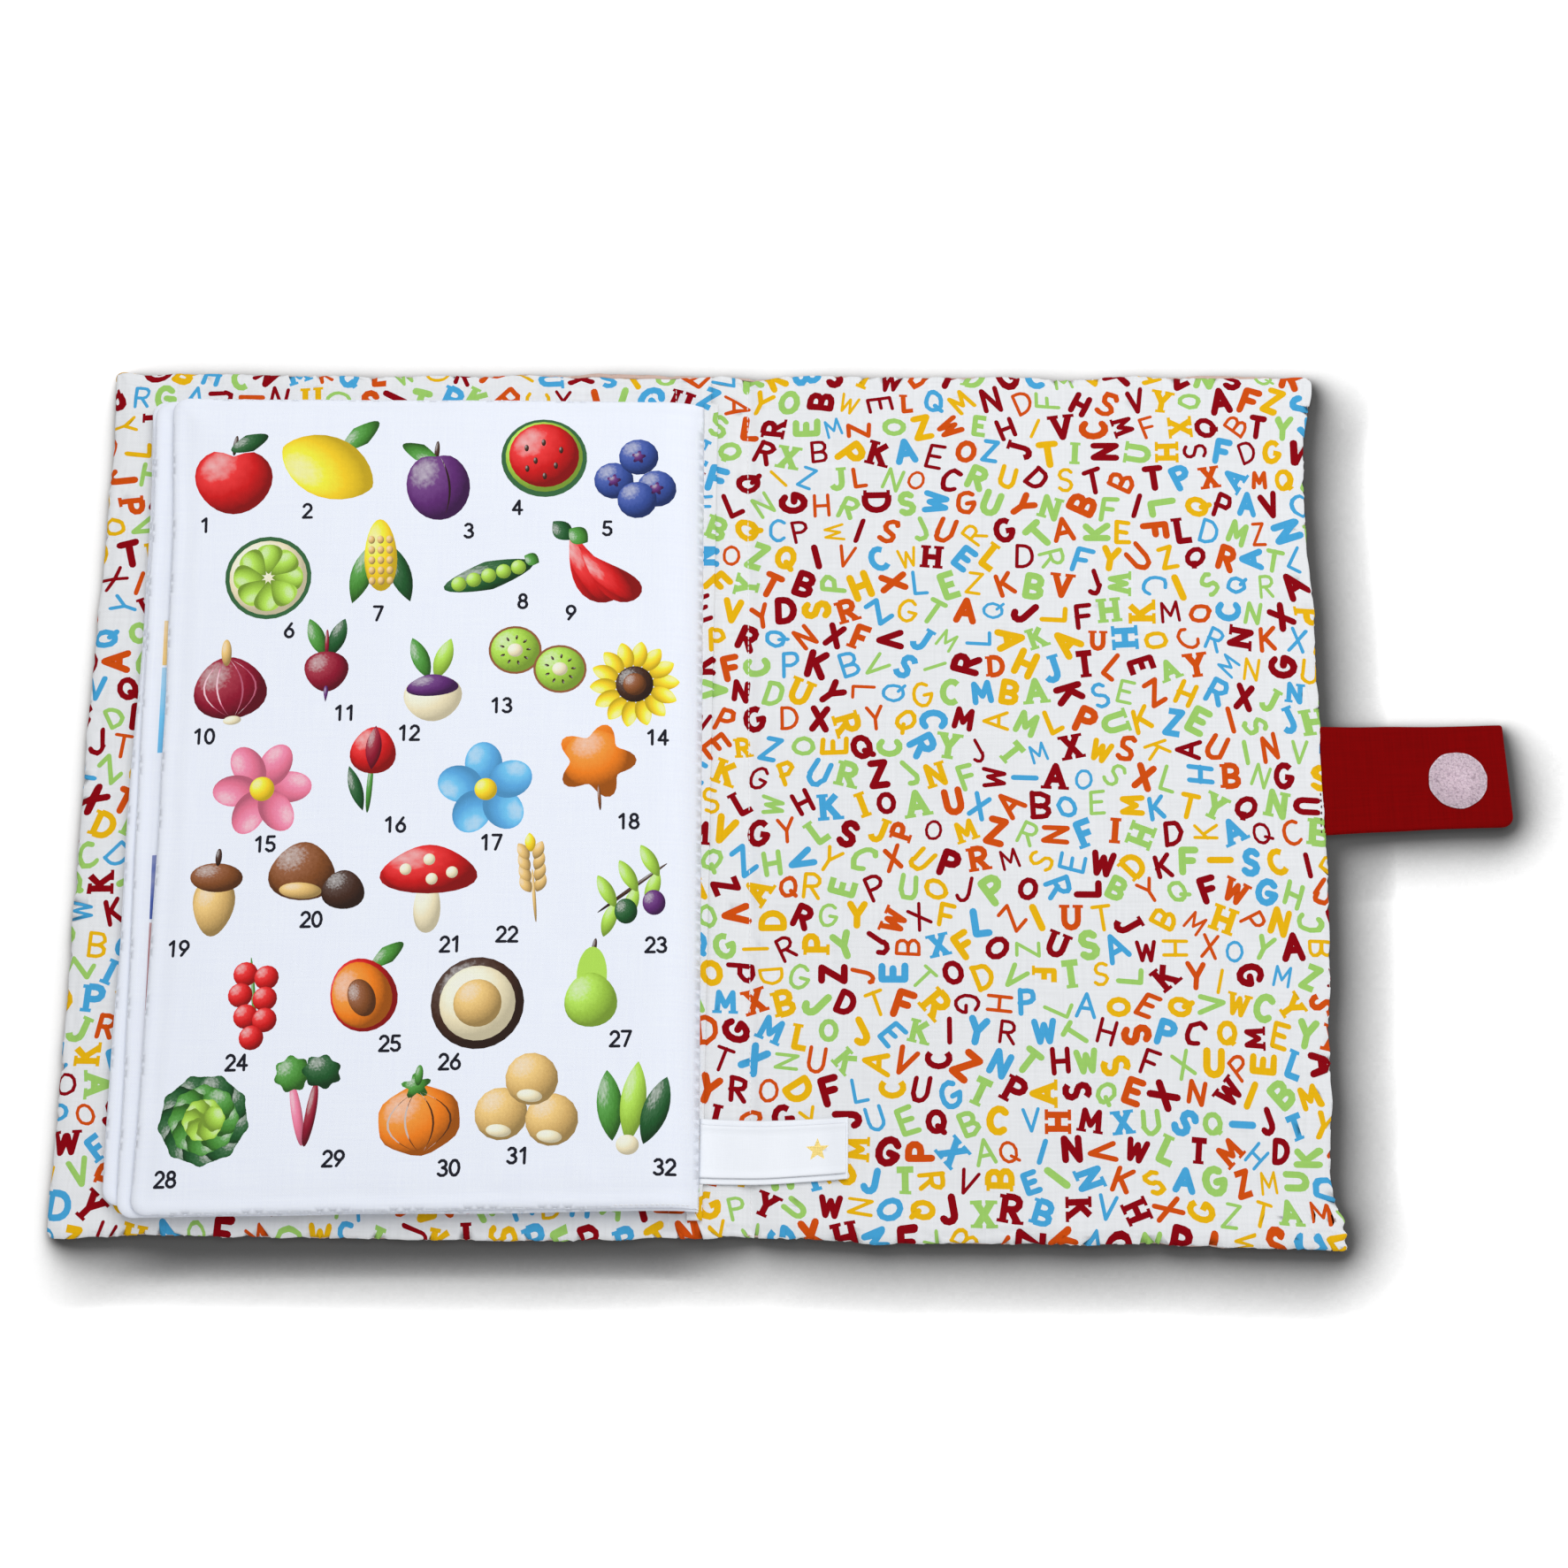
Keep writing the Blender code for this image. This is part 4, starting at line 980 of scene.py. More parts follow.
def garden_motifs():
    """Things from a garden, each as a few shapes laid over each other, from the lowest up."""
    p = patch
    stalk, berries = p("bark", 0.5, 12, 1.6, 7, -8), ((-6, -3), (6, -4), (0, 5))
    seeds, nuts = ((-6, 4), (0, 6), (6, 3), (-3, -1), (4, -3), (-6, -4), (0, -7)), ((-6, -2), (6, -2), (0, 7))
    currants = ((-3, 8), (3, 7), (-4, 2), (3, 1), (-2, -4), (3.4, -5), (0, -10))
    kernels = [(x, y) for y in (-9, -5, -1, 3, 7) for x in (-3.3, 0, 3.3)]
    lettuce = (("deep_green", 9, 9, 13), ("leaf", 8, 6.5, 11), ("lime", 6, 3.4, 8))
    return [
        [stalk, p("deep_green", 5, 13, 13, 6, 25, point=1), p("red", 0, 0, 25, 23, taper=-0.12, dent=0.28)],
        [p("leaf", 9, 9, 13, 6, 40, point=1), p("yellow", 0, 0, 18, 27, 62, point=0.35)],
        [stalk, p("leaf", -5, 12, 12, 6, 150, point=1), p("purple", 0, 0, 20, 23, dent=0.12),
         p("bark", 2.5, 0, 0.7, 19.5, point=1, bend=-6)],
        [p("deep_green", 0, 0, 30, 30, picture=False, count=30), p("lime", 0, 0.5, 27, 27),
         p("red", 0, 1, 24.5, 24.5)] + [p("bark", x, y, 1.5, 2.6) for x, y in seeds],
        heap("blue", (*berries, (1, -8)), 11)
        + [p("purple", x, y, 3.2, 3.2, lobes=5, deep=0.3) for x, y in berries],
        [p("deep_green", 0, 0, 25, 25, picture=False), p("cream", 0, 0, 22.5, 22.5)]
        + around(8, 5.6, lambda x, y, a: p("lime", x, y, 6.4, 9.0, a, taper=-0.7)),
        [p("leaf", -7, -6, 8, 24, -18, point=1), p("deep_green", 7, -6, 8, 24, 18, point=1),
         p("yellow", 0, 1, 12, 28, taper=0.12)] + [p("straw", x, y, 2.6, 3.2, count=10) for x, y in kernels],
        [p("deep_green", 0, 0, 34, 11, 12, point=0.8)]
        + [p("lime", x, 0.21 * x, 5.6, 5.6, count=14) for x in (-11, -5.5, 0, 5.5, 11)]
        + [p("leaf", 16, 5, 5, 6, 60, point=1)],
        [p("red", 0, -2, 9, 27, 35, taper=0.85, bend=0.5), p("red", 6, -4, 8, 24, 55, taper=0.85, bend=0.4),
         p("deep_green", -9, 8, 6, 8, 50, point=1), p("leaf", -4, 7, 6, 7, 60, point=1)],
        [p("crimson", 0, -2, 24, 21, taper=0.18), p("straw", 0, 10, 3.4, 9, -6), p("cream", 0, -13, 6, 3)]
        + ribs("pink", ((2.6, 11), (5, 24)), -2, 19),
        [p("leaf", -5, 13, 8, 20, 22, point=0.8), p("deep_green", 5, 13, 8, 20, -20, point=0.8),
         p("crimson", 0, 10, 2, 14), p("crimson", 0, -4, 21, 20, taper=-0.2),
         p("purple", 0, -15, 2, 8, taper=-0.6)],
        [p("leaf", -4, 13, 7, 18, 18, point=0.8), p("lime", 5, 12, 7, 18, -24, point=0.8),
         p("cream", 0, -4, 23, 19, taper=-0.15), p("purple", 0, 1.5, 20, 9, taper=0.3)],
        [shape for cx, cy in ((-7.5, 4), (8, -4)) for shape in
         [p("brown", cx, cy, 19, 18, picture=False), p("lime", cx, cy, 17.4, 16.4),
          p("cream", cx, cy, 5.5, 5)]
         + around(9, 4.8, lambda x, y, a: p("bark", cx + x, cy + y, 0.9, 1.8, a, count=8))],
        around(14, 10.5, lambda x, y, a: p("yellow", x, y, 5.6, 10, a, point=0.5))
        + [p("bark", 0, 0, 13, 13), p("brown", 0, 0, 8, 8)],
        around(6, 7.5, lambda x, y, a: p("pink", x, y, 9, 13, a)) + [p("yellow", 0, 0, 7, 7)],
        [p("leaf", 0, -8, 2.2, 20), p("deep_green", -5, -9, 5, 18, 22, point=1),
         p("red", 0, 6, 17, 18, taper=0.2), p("crimson", 0, 7, 6, 17, point=1)],
        around(5, 7, lambda x, y, a: p("sky", x, y, 10, 12, a), 90) + [p("yellow", 0, 0, 6, 6)],
        [p("orange", 0, 1, 27, 26, -10, lobes=5, deep=0.22, count=50), p("brown", 3, -14, 1.4, 11, 10)],
        [p("straw", 0, -5, 14, 20, taper=-0.25), p("brown", 0, 5, 18, 10), p("bark", 0, 12, 2.2, 6)],
        [p("brown", -4, 0, 20, 18, taper=0.25), p("straw", -4, -6, 13, 5),
         p("bark", 9, -5, 13, 12, taper=0.2)],
        [p("cream", 0, -7, 8, 17, taper=0.2), p("red", 0, 4, 28, 15, taper=0.35)]
        + heap("cream", ((-7, 4), (0, 7), (7, 3), (1, 1)), 3.6),
        [p("straw", 0, -8, 1.4, 22)] + [p("straw", side * 3, y, 4.6, 8, -side * 28, point=0.7)
                                        for y in (-3, 1.5, 6, 10.5) for side in (-1, 1)]
        + [p("yellow", 0, 14, 4.4, 8, 0, point=0.7)],
        [p("bark", 0, 0, 1.4, 30, -60)]
        + [p("lime", x, 0.58 * x + side * 5, 5, 13, side * 24, point=0.6)
           for x in (-9, -1, 7) for side in (-1, 1)]
        + [p("deep_green", -3, -8, 8, 9), p("purple", 7, -6, 8, 9)],
        [p("leaf", 0, 0, 1.2, 26, 8)] + heap("red", currants, 7.0),
        [p("leaf", 8, 13, 13, 6, 35, point=1), p("red", 0, 0, 22, 25, 20, taper=0.08),
         p("orange", -0.6, 0, 19.6, 22.6, 20, taper=0.08), p("brown", -0.5, -1, 9, 13, 20)],
        [p("bark", 0, 0, 27, 27), p("cream", 0, 0, 22, 22), p("straw", 0, 0, 14, 14)],
        [p("bark", 2.5, 15, 1.8, 7, -14), p("lime", 1, 5, 11, 21, -6, picture=False),
         p("lime", 0, -4, 19, 20, taper=0.12)],
        [shape for ink, count, radius, wide in lettuce for shape in
         around(count, radius,
                lambda x, y, a: p(ink, x, y, wide, wide * 0.9, a, lobes=7, deep=0.06, count=34), 9 * wide)],
        [p("pink", -3, -4, 4, 24, 14), p("crimson", 2, -4, 4, 24, -6),
         p("leaf", -6, 11, 13, 13, 10, lobes=7, deep=0.1, count=40),
         p("deep_green", 5, 12, 14, 12, -12, lobes=7, deep=0.1, count=40)],
        [p("orange", 0, 0, 24, 20, lobes=6, deep=0.03), p("leaf", 0, 10, 7, 6, lobes=5, deep=0.3, count=30),
         p("leaf", 1, 13, 2.4, 6, -12)] + ribs("brown", ((2.4, 11), (5.2, 26)), -0.5, 17),
        heap("straw", nuts, 12.5) + [p("cream", x, y - 4, 6, 3) for x, y in nuts],
        [p("leaf", -8, 0, 9, 25, 12, point=0.8), p("lime", 0, 2, 9, 29, 0, point=0.8),
         p("deep_green", 8, 0, 9, 25, -12, point=0.8), p("cream", 0, -13, 8, 7)],
    ]


def digit_strokes():
    """The digits as pen strokes, on a body one high."""
    return {
        "0": ring(0.3, 0.5, 0.3, 0.5),
        "1": [[(0.08, 0.78), (0.34, 1), (0.34, 0)]],
        "2": [arc(0.30, 0.70, 0.27, 0.30, 160, -20) + [(0.0, 0.0), (0.60, 0.0)]],
        "3": [arc(0.28, 0.76, 0.25, 0.24, 150, -90), arc(0.28, 0.26, 0.30, 0.26, 90, -150)],
        "4": [[(0.44, 0), (0.44, 1), (0, 0.30), (0.62, 0.30)]],
        "5": [[(0.54, 1), (0.10, 1), (0.05, 0.56)] + arc(0.27, 0.30, 0.30, 0.30, 115, -150)],
        "6": [[(0.46, 0.98)] + arc(0.30, 0.30, 0.28, 0.30, 165, 360, 9),
              arc(0.30, 0.30, 0.28, 0.30, -20, 190, 9)],
        "7": [[(0, 1), (0.58, 1), (0.20, 0)]],
        "8": ring(0.3, 0.76, 0.23, 0.24) + ring(0.3, 0.27, 0.29, 0.27),
        "9": [[(0.14, 0.02)] + arc(0.30, 0.70, 0.28, 0.30, -15, 180, 9),
              arc(0.30, 0.70, 0.28, 0.30, 160, 370, 9)],
    }


DIGIT_PITCH = 0.78


def number_patches(number, x, y, high, pen):
    """A plain number, written with its middle at a place, in mm."""
    made, digits, strokes = [], str(number), digit_strokes()
    left = x - DIGIT_PITCH * high * (len(digits) - 1) / 2
    for n, digit in enumerate(digits):
        start = left + DIGIT_PITCH * high * n
        for stroke in strokes[digit]:
            for outline in stroke_outlines(stroke, pen, round_ends=True):
                loop = [(start + (px - 0.3) * high, y + (py - 0.5) * high) for px, py in outline]
                made.append(("number", loop, None))
    return made


# The chart's rows start high and are a row apart, in mm. They hold five and four things by turns.
CHART_TOP, CHART_ROW, CHART_ROWS = 116, 37.5, ((-71, -36, 1, 37, 71), (-57, -19, 19, 57))
MOTIF_WIDE, MOTIF_HIGH, MOTIF_SWELL = 35, 31.5, 1.5


def chart_page():
    """The garden chart: a number and a picture for each thing, in staggered rows."""
    chance, made, labels = random.Random(11), [], []
    places = [(x, CHART_TOP - CHART_ROW * row + (3 if n % 2 else -3)) for row in range(7)
              for n, x in enumerate(CHART_ROWS[row % 2])]
    for number, (motif, (x, y)) in enumerate(zip(garden_motifs(), places), 1):
        spread = np.array([point for _, loop, _ in motif for point in loop])
        low, high = spread.min(axis=0), spread.max(axis=0)
        size = min(MOTIF_SWELL, MOTIF_WIDE / (high[0] - low[0]), MOTIF_HIGH / (high[1] - low[1]))
        size *= chance.uniform(0.95, 1.0)
        x, y, lean = x + chance.uniform(-1, 1), y + chance.uniform(-1.5, 1.5), radians(chance.uniform(-7, 7))
        middle = (low + high) / 2

        def moved(px, py):
            return turned(size * (px - middle[0]), size * (py - middle[1]), lean, (x, y))

        for ink, loop, picture in motif:
            if picture:
                px, py, wide, tall, angle = picture
                picture = (*moved(px, py), wide * size, tall * size, angle + lean)
            made.append((ink, [moved(*point) for point in loop], picture))
        labels.append((number, x + chance.uniform(-3, 3), y - size * (high[1] - low[1]) / 2 - 4.0))
    # A number moves sideways to where it has most room.
    printed = np.array([point for _, loop, _ in made for point in loop])
    for number, x, y in labels:
        room = {x + shift: np.hypot(printed[:, 0] - x - shift, printed[:, 1] - y).min() - 0.08 * abs(shift)
                for shift in range(-10, 11, 2)}
        made += number_patches(number, max(room, key=room.get), y, 5.0, 0.20)
    return made


def counting_page(number):
    """A page with a plain number and as many round balls."""
    inks = ("red", "yellow", "sky", "lime", "orange", "pink", "blue")
    made = number_patches(number, -50, 100, 46, 0.16)
    for n in range(number):
        x, y = (-42 + 84 * (n % 2), 34 - 44 * (n // 2)) if number > 1 else (0, -20)
        made.append(patch(inks[(n + number) % 7], x, y, 38, 38, count=40))
    return made


def shore_page():
    """A plain seaside in bands, printed nearly to the page's outer edge: sand, sky, sea and a red line."""
    left, right, made = -89.4, 84.0, []
    bands = (("straw", 45.4, 61.5), ("sky", 14, 44.6), ("blue", -44, -22), ("crimson", -93, -45.2))
    for ink, low, high in bands:
        loop = [(left, low), (right, low), (right, high), (left, high)]
        made.append((ink, loop, (0, (low + high) / 2, 200, 60, 0)))
    return made + number_patches(6, -40, 110, 30, 0.16)


def on_page(patches, wide, upper):
    """Patches moved from a page's own middle, in mm, to the leaf's flat cloth, mirrored on its lower side."""
    side, made = 1 if upper else -1, []
    for ink, loop, picture in patches:
        moved = [(side * px * MM - wide / 2, py * MM) for px, py in loop]
        if picture:
            x, y, half_wide, half_high, angle = picture
            picture = (side * x * MM - wide / 2, y * MM, side * half_wide * MM, half_high * MM, side * angle)
        made.append((INK_NUMBERS[ink], moved, picture))
    return made


PAGES = {(1, False): counting_page(1), (1, True): counting_page(2), (2, False): counting_page(3),
         (2, True): counting_page(4), (3, False): counting_page(5), (3, True): shore_page(),
         (4, False): counting_page(7), (4, True): chart_page()}

EDGE_LINES, PAGE_STEP = (0.4, 1.0, 1.6, 2.4, 3.4, 4.6, 6.0, 7.8), 4 * MM
for (number, upper), design in PAGES.items():
    wide = PAGE_WIDTHS[number]
    flat_wide, flat_half = wide + PAGE_SPARE, PAGE_HALF_HEIGHT + PAGE_SPARE
    border = sheet_border(-flat_wide, 0.0, -flat_half, flat_half, 2.2 * MM, (PAGE_CORNER, 0, 0, PAGE_CORNER))
    lines_x = [-flat_wide + line * MM for line in EDGE_LINES] + [-0.4 * MM]
    lines_x += [-x for x in steps(0.8 * MM, 26 * MM, 1.4 * MM)]
    lines_x += list(steps(-flat_wide + 9.4 * MM, -flat_wide + 14 * MM, 1.5 * MM))
    lines_x += list(steps(-flat_wide + 17 * MM, -28 * MM, PAGE_STEP))
    lines_y = [side * (flat_half - line * MM) for line in EDGE_LINES for side in (-1, 1)]
    lines_y += list(steps(-flat_half + 10 * MM, flat_half - 10 * MM, PAGE_STEP))
    face = "verso" if upper else "recto"
    page = inlaid_cloth(f"page_{number}_{face}", border, (lines_x, lines_y), on_page(design, wide, upper),
                        page_place(number, upper), PAGE_THICKNESS, [PAGE_COTTON, *PICTURE_INKS.values()],
                        not upper)
    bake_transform(page)
    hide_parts(f"leaf_{number}_{face}_cloth")

pad_end = PAGE_HALF_HEIGHT - 3 * MM
for number, wide in PAGE_WIDTHS.items():
    filling(f"wadding_leaf_{number}", (3 * MM - wide, -pad_end), (-24 * MM, pad_end),
            page_place(number, True), page_place(number, False), 0.45 * MM, f"leaf_{number}",
            [f"leaf_{number}_wadding"])

# Ribbon labels. Two white satin ribbons, the wider below the narrower, both caught in the binding
# seam and free at their other end. The upper one carries a plain foil star.

LABEL_LINE = ((1.2, -124.3), (10, -124.5), (22, -124.6), (36, -123.8), (51, -122.8))
RIBBON_CLOTH, RIBBON_ROOT, RIBBON_RISE = 0.2 * MM, 1.25 * MM, 0.42


def ribbon_place(level):
    """The upper face of a ribbon that lifts off the strip, sags over the crease and curls at its end."""
    def place(s, t):
        x = s / MM
        lifted = 5.22 + 0.42 * ease((4.6 - x) / 2.2) + RIBBON_RISE * level
        lifted += 0.30 * ripple(s, 0.4 * t, 11 * MM, 31) * ease(x / 8) + 0.9 * ease((x - 40) / 14)
        lifted += (0.16 + 0.12 * level) * bell(abs(t) / MM - 7.9, 0.8) * level
        bed = lining_place(s, t + follow(LABEL_LINE, s)).z / MM
        lifted = max(lifted, bed + 0.5 + RIBBON_RISE * level)
        spread = 0.02 * (x - 26) * MM * (t / (10 * MM)) * 0.6
        return Vector((s, follow(LABEL_LINE, s) + t - spread, lifted * MM))
    return place


SATIN = woven("white_satin", (233, 237, 244), threads=6500, depth=0.02, roughness=0.36, sheen=0.0, bump=0.12,
              gloss=0.55)
FOIL = woven("gold_foil", (206, 184, 112), threads=5200, depth=0.35, roughness=0.34, sheen=0.0, bump=0.6)
FOIL.node_tree.nodes["Principled BSDF"].inputs["Metallic"].default_value = 0.75
STAR_PLACE, STAR_RADII = 40, (4.0, 1.7)
star = [((STAR_PLACE + STAR_RADII[n % 2] * sin(a)) * MM, STAR_RADII[n % 2] * cos(a) * MM)
        for n, a in enumerate(np.linspace(0, 2 * pi, 11)[:-1])]
for name, level, half, end, nodes_behind in (("care_ribbon", 0, 10.5 * MM, 50.0 * MM, "care_label"),
                                             ("brand_ribbon", 1, 8.6 * MM, 49.3 * MM, "brand_label")):
    border = sheet_border(RIBBON_ROOT, end, -half, half, 1.0 * MM)
    lines = (steps(2 * MM, end - 0.5 * MM, 1.1 * MM), steps(-half + 0.5 * MM, half - 0.5 * MM, 0.9 * MM))
    patches = [(1, star, None)] if level else []
    ribbon = inlaid_cloth(name, border, lines, patches, ribbon_place(level), RIBBON_CLOTH, [SATIN, FOIL])
    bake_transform(ribbon)
    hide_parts(f"{nodes_behind}_root", f"{nodes_behind}_tail")

# Closing tab. Two layers of deep red cotton, sewn round three sides, turned out and caught in
# the fore-edge seam of the back panel.

TAB_CORNERS = ((209.9, 23.9), (272.4, 25.0), (274.6, -11.2), (210.6, -14.4))
TAB_LENGTH, TAB_HALF, TAB_SPARE = 62.8 * MM, 18.9 * MM, 0.4 * MM
TAB_HALF_THICK, TAB_CLOTH = 0.8 * MM, 0.35 * MM
TAB_RADII, TAB_EDGE_LINES = (4.6 * MM, 1.4 * MM), (0.0, 0.6, 1.4, 2.4)


def tab_place(upper):
    """One layer of the tab, from its flat place, measured from the cover's edge."""
    corners = [Vector(c) * MM for c in TAB_CORNERS]

    def place(s, t):
        plan, inward, angle = bagged(s, t, TAB_LENGTH, TAB_HALF, TAB_RADII[int(t > 0)], 0.9 * MM, 1.3 * MM)
        u, v = plan.x / TAB_LENGTH, (plan.y + TAB_HALF) / (2 * TAB_HALF)
        spot = corners[3].lerp(corners[2], u).lerp(corners[0].lerp(corners[1], u), v)
        spot.y += 0.35 * MM * ripple(s, 0, 16 * MM, 12) * (v - 0.4) + 0.5 * MM * sin(pi * u) * (0.5 - v)
        puff = 0.92 + 0.12 * ripple(s, t, 14 * MM, 20) + 0.10 * bell(inward / MM - 2.2, 1.2)
        wave = 0.10 * MM * ripple(s, t, 30 * MM, 21)
        rise = TAB_HALF_THICK * puff * sin(angle) * (1 if upper else -1)
        return Vector((spot.x, spot.y, HALF_COVER + wave + rise))
    return place


RED_COTTON = woven("red_cotton", (125, 0, 1), threads=2300, depth=0.16, sheen=0.0, bump=0.3, gloss=0.06)
for upper, face in ((True, "upper"), (False, "lower")):
    border = sheet_border(0, TAB_LENGTH + TAB_SPARE, -TAB_HALF - TAB_SPARE, TAB_HALF + TAB_SPARE, 1.1 * MM,
                          (0, *TAB_RADII, 0))
    lines_x = [*steps(1 * MM, TAB_LENGTH - 3 * MM, 1.4 * MM)]
    lines_x += [TAB_LENGTH - line * MM for line in TAB_EDGE_LINES]
    lines_y = [*steps(-TAB_HALF + 3 * MM, TAB_HALF - 3 * MM, 1.5 * MM)]
    lines_y += [side * (TAB_HALF - line * MM) for line in TAB_EDGE_LINES for side in (-1, 1)]
    layer = inlaid_cloth(f"tab_{face}", border, (lines_x, lines_y), [], tab_place(upper), TAB_CLOTH,
                         [RED_COTTON], not upper)
    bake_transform(layer)
    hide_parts(f"tab_root_{face}_cloth", f"tab_flap_{face}_cloth")

# Hook and loop fastening. A round of loop pile is sewn on the tab's upper face, and a round of
# hooks on the outside of the front panel. The pile is pinkish grey, with a lighter cut edge.

DISC_RADIUS, DISC_BASE, DISC_BEVEL, DISC_FRAY = 9.85 * MM, 0.45 * MM, 0.12 * MM, 0.22
# The loops and hooks stand on a spiral of this turn: their half width, height and thickness.
GOLDEN_TURN, LOOP_HALF, LOOP_HIGH, FILAMENT = 2.39996, 0.26 * MM, 0.5 * MM, 0.075


def pile_material(name, colour, gap_shade):
    """Nylon pile: pale filaments, with painted shade that darkens the gaps between them."""
    made = fluffy(name, shader_colour(colour))
    tree, shader = made.node_tree, made.node_tree.nodes["Principled BSDF"]
    place = node(tree, "TexCoord", {}).outputs["Object"]
    # Painted shade: a darker colour at the edges of a cell pattern stands for the gaps between filaments.
    gap = node(tree, "TexVoronoi", {"Scale": 1400, "Vector": place}).outputs["Distance"]
    spread = node(tree, "MapRange", {"From Min": 0.45, "From Max": 0.95, "To Max": 0.8, "Value": gap})
    fibres = shader.inputs["Base Color"].links[0].from_socket
    mixed = node(tree, "Mix", {"A": fibres, "B": (*shader_colour(gap_shade), 1), "Factor": spread.outputs[0]},
                 data_type="RGBA")
    feed(tree, shader, {"Base Color": mixed.outputs["Result"]})
    return made


def fastening_disc(name, centre, base_z, facing, count, open_hook, finish):
    """A round woven backing with rows of loops or hooks standing on it."""
    bpy.ops.object.select_all(action="DESELECT")
    bpy.ops.mesh.primitive_cylinder_add(vertices=72, radius=DISC_RADIUS, depth=DISC_BASE,
                                        location=(*centre, base_z + facing * DISC_BASE / 2))
    made = bpy.context.active_object
    made.name = name
    bpy.ops.object.transform_apply(location=True)
    bm = bmesh.new()
    bm.from_mesh(made.data)
    bmesh.ops.bevel(bm, geom=bm.edges[:], offset=DISC_BEVEL, segments=2, affect="EDGES")
    for v in bm.verts:
        a = atan2(v.co.y - centre[1], v.co.x - centre[0])
        stray = ripple(cos(a) * 9 * MM, sin(a) * 9 * MM, 3 * MM, 14)
        v.co.xy += Vector((cos(a), sin(a))) * DISC_FRAY * MM * stray
    chance = random.Random(33)
    top = base_z + facing * DISC_BASE
    for n in range(count):
        radius = (DISC_RADIUS - 0.25 * MM) * ((n + 0.5) / count) ** 0.5
        x, y = (centre[0] + radius * cos(GOLDEN_TURN * n), centre[1] + radius * sin(GOLDEN_TURN * n))
        turn, lean = chance.uniform(0, 2 * pi), chance.uniform(-0.5, 0.5)
        high = LOOP_HIGH * chance.uniform(0.7, 1.0)
        across = Vector((cos(turn), sin(turn), 0))
        out = Vector((-sin(turn) * lean, cos(turn) * lean, facing)).normalized()
        foot, rings = Vector((x, y, top - facing * 0.05 * MM)), []
        for a in np.linspace(0, pi * (0.72 if open_hook else 1.0), 6):
            middle = foot + across * LOOP_HALF * cos(a) + out * high * sin(a)
            spoke = (across * cos(a) + out * sin(a)).normalized()
            side = spoke.cross(across * -sin(a) + out * cos(a)).normalized()
            rings.append([bm.verts.new(middle + (spoke * cos(q) + side * sin(q)) * FILAMENT * MM)
                          for q in (0.0, 2 * pi / 3, 4 * pi / 3)])
        close_tube(bm, rings)
    bmesh.ops.recalc_face_normals(bm, faces=bm.faces)
    bm.to_mesh(made.data)
    bm.free()
    made.data.materials.append(finish)
    made.data.shade_smooth()
    return made


loops = fastening_disc("loop_disc", (0.2562, 0.0050), 3.1 * MM, 1, 900, False,
                       pile_material("loop_pile", (254, 234, 246), (178, 150, 170)))
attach(loops, "tab_flap")
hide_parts("tab_loop_disc")
hooks = fastening_disc("hook_disc", (-0.188625, 0.0055), 0.98 * MM, -1, 500, True,
                       pile_material("hook_tape", (226, 214, 220), (150, 130, 140)))
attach(hooks, "front_cover")
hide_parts("front_hook_disc")

# Seams. White machine stitches hold the wadding along both creases, on the lining and outside,
# and close the foot of the top leaf by the gutter; dark red ones hold the tab's root in the fore-edge.

for side, half, crease, body in ((-1, "front", LEFT_CREASE, "front_cover"),
                                 (1, "back", RIGHT_CREASE, "back_cover")):
    for surface, place, lift in (("lining", lining_place, 0.06), ("outer", outer_place, 0.02)):
        line = [place(crease_x(crease, t), t) + Vector((0, 0, lift * MM))
                for t in steps(-FLAT_HEIGHT + 5 * MM, FLAT_HEIGHT - 5 * MM, 1.5 * MM)]
        row = stitch_row(f"crease_stitches_{half}_{surface}", line, 2.0 * MM, 1.45 * MM, 0.36 * MM,
                         WHITE_THREAD)
        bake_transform(row)

foot_line = [page_place(4, True)(s, -PAGE_HALF_HEIGHT + 1.0 * MM) + Vector((0, 0, 0.04 * MM))
             for s in steps(-27 * MM, -2.5 * MM, 1 * MM)]
closing = stitch_row("leaf_closing_stitches", foot_line, 1.7 * MM, 1.15 * MM, 0.28 * MM, WHITE_THREAD)
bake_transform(closing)

RED_THREAD = woven("red_thread", (60, 8, 14), threads=5200, depth=0.2, roughness=0.6, sheen=0.3)
root_line = [lining_place(FLAT_WIDTH - 3.3 * MM, t) + Vector((0, 0, 0.02 * MM))
             for t in steps(-14 * MM, 1 * MM, 1 * MM)]
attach(stitch_row("tab_root_stitches", root_line, 2.2 * MM, 1.0 * MM, 0.50 * MM, RED_THREAD),
        "back_cover")

# Studio: a white floor and surround, a large soft lamp above the book, and the camera where the
# photograph was taken from. The floor carries a painted shadow: its colour darkens softly at the
# lower right of what stands on it, and faintly all round it.

FLOOR_HALF, FLOOR_Z = 3, -0.0002
corners = [(x * FLOOR_HALF, y * FLOOR_HALF, FLOOR_Z) for x, y in ((-1, -1), (1, -1), (1, 1), (-1, 1))]
floor = new_piece("floor", corners, [(0, 1, 2, 3)])


def seen_directly(tree):
    """One for what the camera sees, straight or in gloss and glass, and zero for other light."""
    rays = tree.nodes.new("ShaderNodeLightPath").outputs
    total = rays["Is Camera Ray"]
    for kind in ("Is Glossy Ray", "Is Transmission Ray"):
        total = maths(tree, "MAXIMUM", total, rays[kind])
    return total
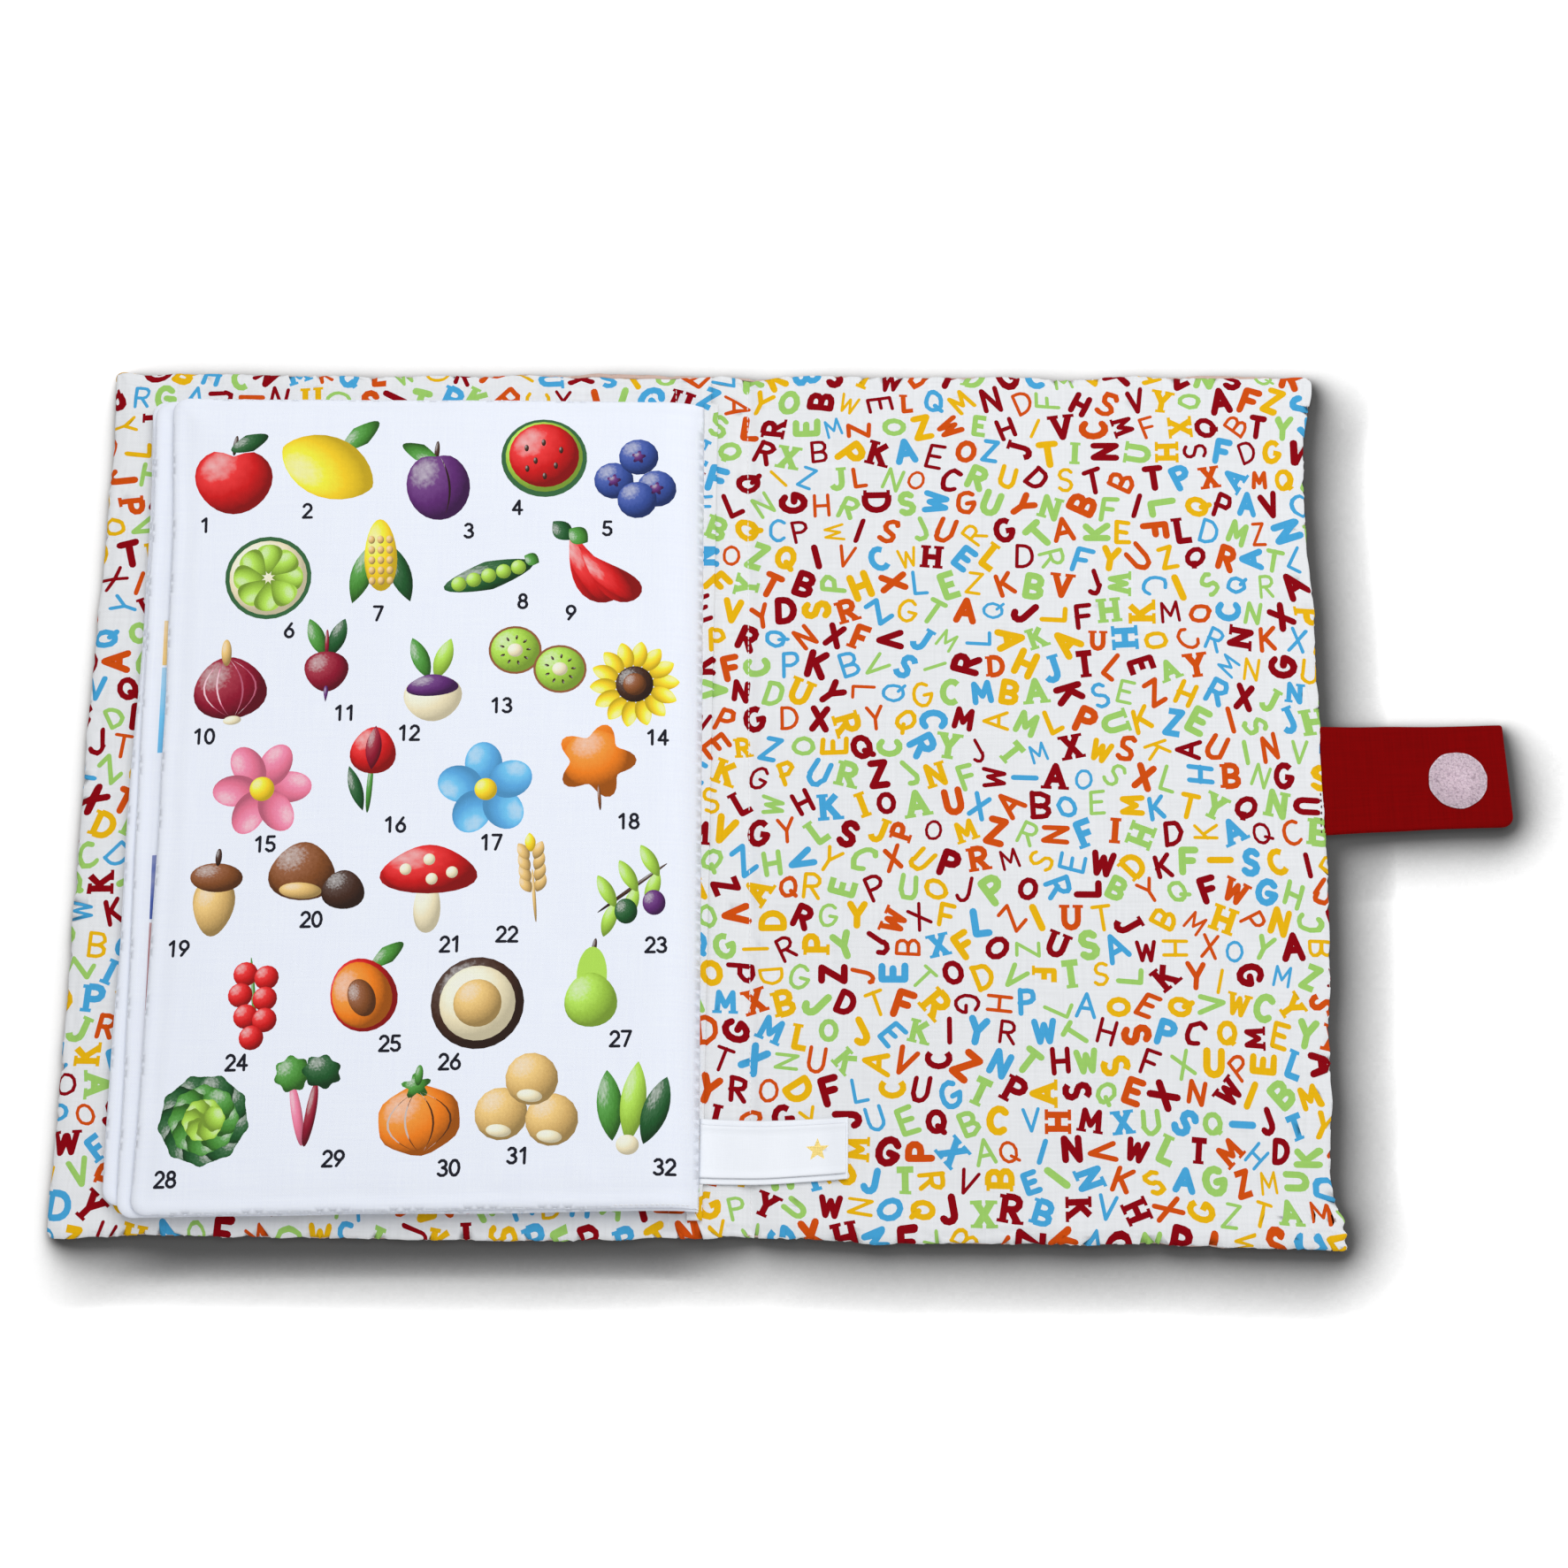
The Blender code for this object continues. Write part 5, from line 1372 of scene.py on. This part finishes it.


# How bright the painted shadow leaves the floor at each share of open sky on its lower right.
SHADE_STOPS = ((0.72, 0.09), (0.80, 0.175), (0.871, 0.30), (0.922, 0.465), (0.95, 0.61), (0.972, 0.77),
               (0.987, 0.92), (1.0, 1.0))
paper = bpy.data.materials.new("studio_paper")
paper.use_nodes = True
tree = paper.node_tree
tree.nodes.clear()
# Painted shadow: occlusion seen along a normal tilted to the upper left darkens the floor's colour at the
# lower right of what stands on it.
tilt = node(tree, "CombineXYZ", {0: -0.72, 1: 0.66, 2: 0.25}).outputs[0]
painted_shadow_ao = node(tree, "AmbientOcclusion", {"Distance": 0.024, "Normal": tilt}, samples=48).outputs["AO"]
shade = node(tree, "ValToRGB", {"Fac": painted_shadow_ao})
for n, (place, bright) in enumerate(SHADE_STOPS):
    stop = shade.color_ramp.elements[n] if n < 2 else shade.color_ramp.elements.new(place)
    stop.position, stop.color = place, (bright, bright, bright, 1)
# Painted contact shade: plain occlusion darkens the floor's colour faintly all round what stands on it.
painted_contact_shade = node(tree, "AmbientOcclusion", {"Distance": 0.020}, samples=16).outputs["AO"]
painted_contact_shade = node(tree, "MapRange", {"From Min": 0.55, "From Max": 0.985, "To Min": 0.74, "Value": painted_contact_shade})
shades = node(tree, "Mix", {"Factor": 1.0, "A": shade.outputs["Color"], "B": painted_contact_shade.outputs[0]},
              data_type="RGBA", blend_type="MULTIPLY").outputs["Result"]
dimmed = node(tree, "Mix", {"Factor": 1.0, "A": shades, "B": (0.62, 0.62, 0.62, 1)},
              data_type="RGBA", blend_type="MULTIPLY").outputs["Result"]
glow = node(tree, "Emission", {"Strength": 0.55, "Color": shades})
lit = node(tree, "BsdfDiffuse", {"Color": dimmed})
both = node(tree, "AddShader", {0: glow.outputs[0], 1: lit.outputs[0]})
plain = node(tree, "BsdfDiffuse", {"Color": (0.85, 0.85, 0.85, 1)})
chosen = node(tree, "MixShader", {"Fac": seen_directly(tree), 1: plain.outputs[0], 2: both.outputs[0]})
node(tree, "OutputMaterial", {"Surface": chosen.outputs[0]})
floor.data.materials.append(paper)

world = bpy.data.worlds.new("surround")
world.use_nodes = True
tree = world.node_tree
white = feed(tree, tree.nodes["Background"], {"Color": (1, 1, 1, 1), "Strength": 0.51})
seen_white = node(tree, "Background", {"Color": (1, 1, 1, 1), "Strength": 1.0})
either = node(tree, "MixShader", {"Fac": seen_directly(tree), 1: white.outputs[0], 2: seen_white.outputs[0]})
feed(tree, tree.nodes["World Output"], {"Surface": either.outputs[0]})
bpy.context.scene.world = world

lamp = bpy.data.lights.new("soft_lamp", "AREA")
lamp.shape, lamp.size, lamp.energy = "DISK", 1.3, 11.9
lamp_object = bpy.data.objects.new("soft_lamp", lamp)
lamp_object.location = (0.33, 0.38, 1.3)
lamp_object.rotation_euler = (-lamp_object.location).to_track_quat("-Z", "Y").to_euler()
bpy.context.scene.collection.objects.link(lamp_object)

camera = bpy.data.cameras.new("photo_camera")
camera.sensor_width, camera.lens, camera.clip_start = 36.0, 68.314, 0.05
camera_object = bpy.data.objects.new("photo_camera", camera)
camera_object.location = (0.050887, -0.286008, 0.975633)
camera_object.rotation_euler = (0.288435, 0.020515, 0.012057)
bpy.context.scene.collection.objects.link(camera_object)
bpy.context.scene.camera = camera_object
bpy.context.scene.view_settings.view_transform = "Standard"
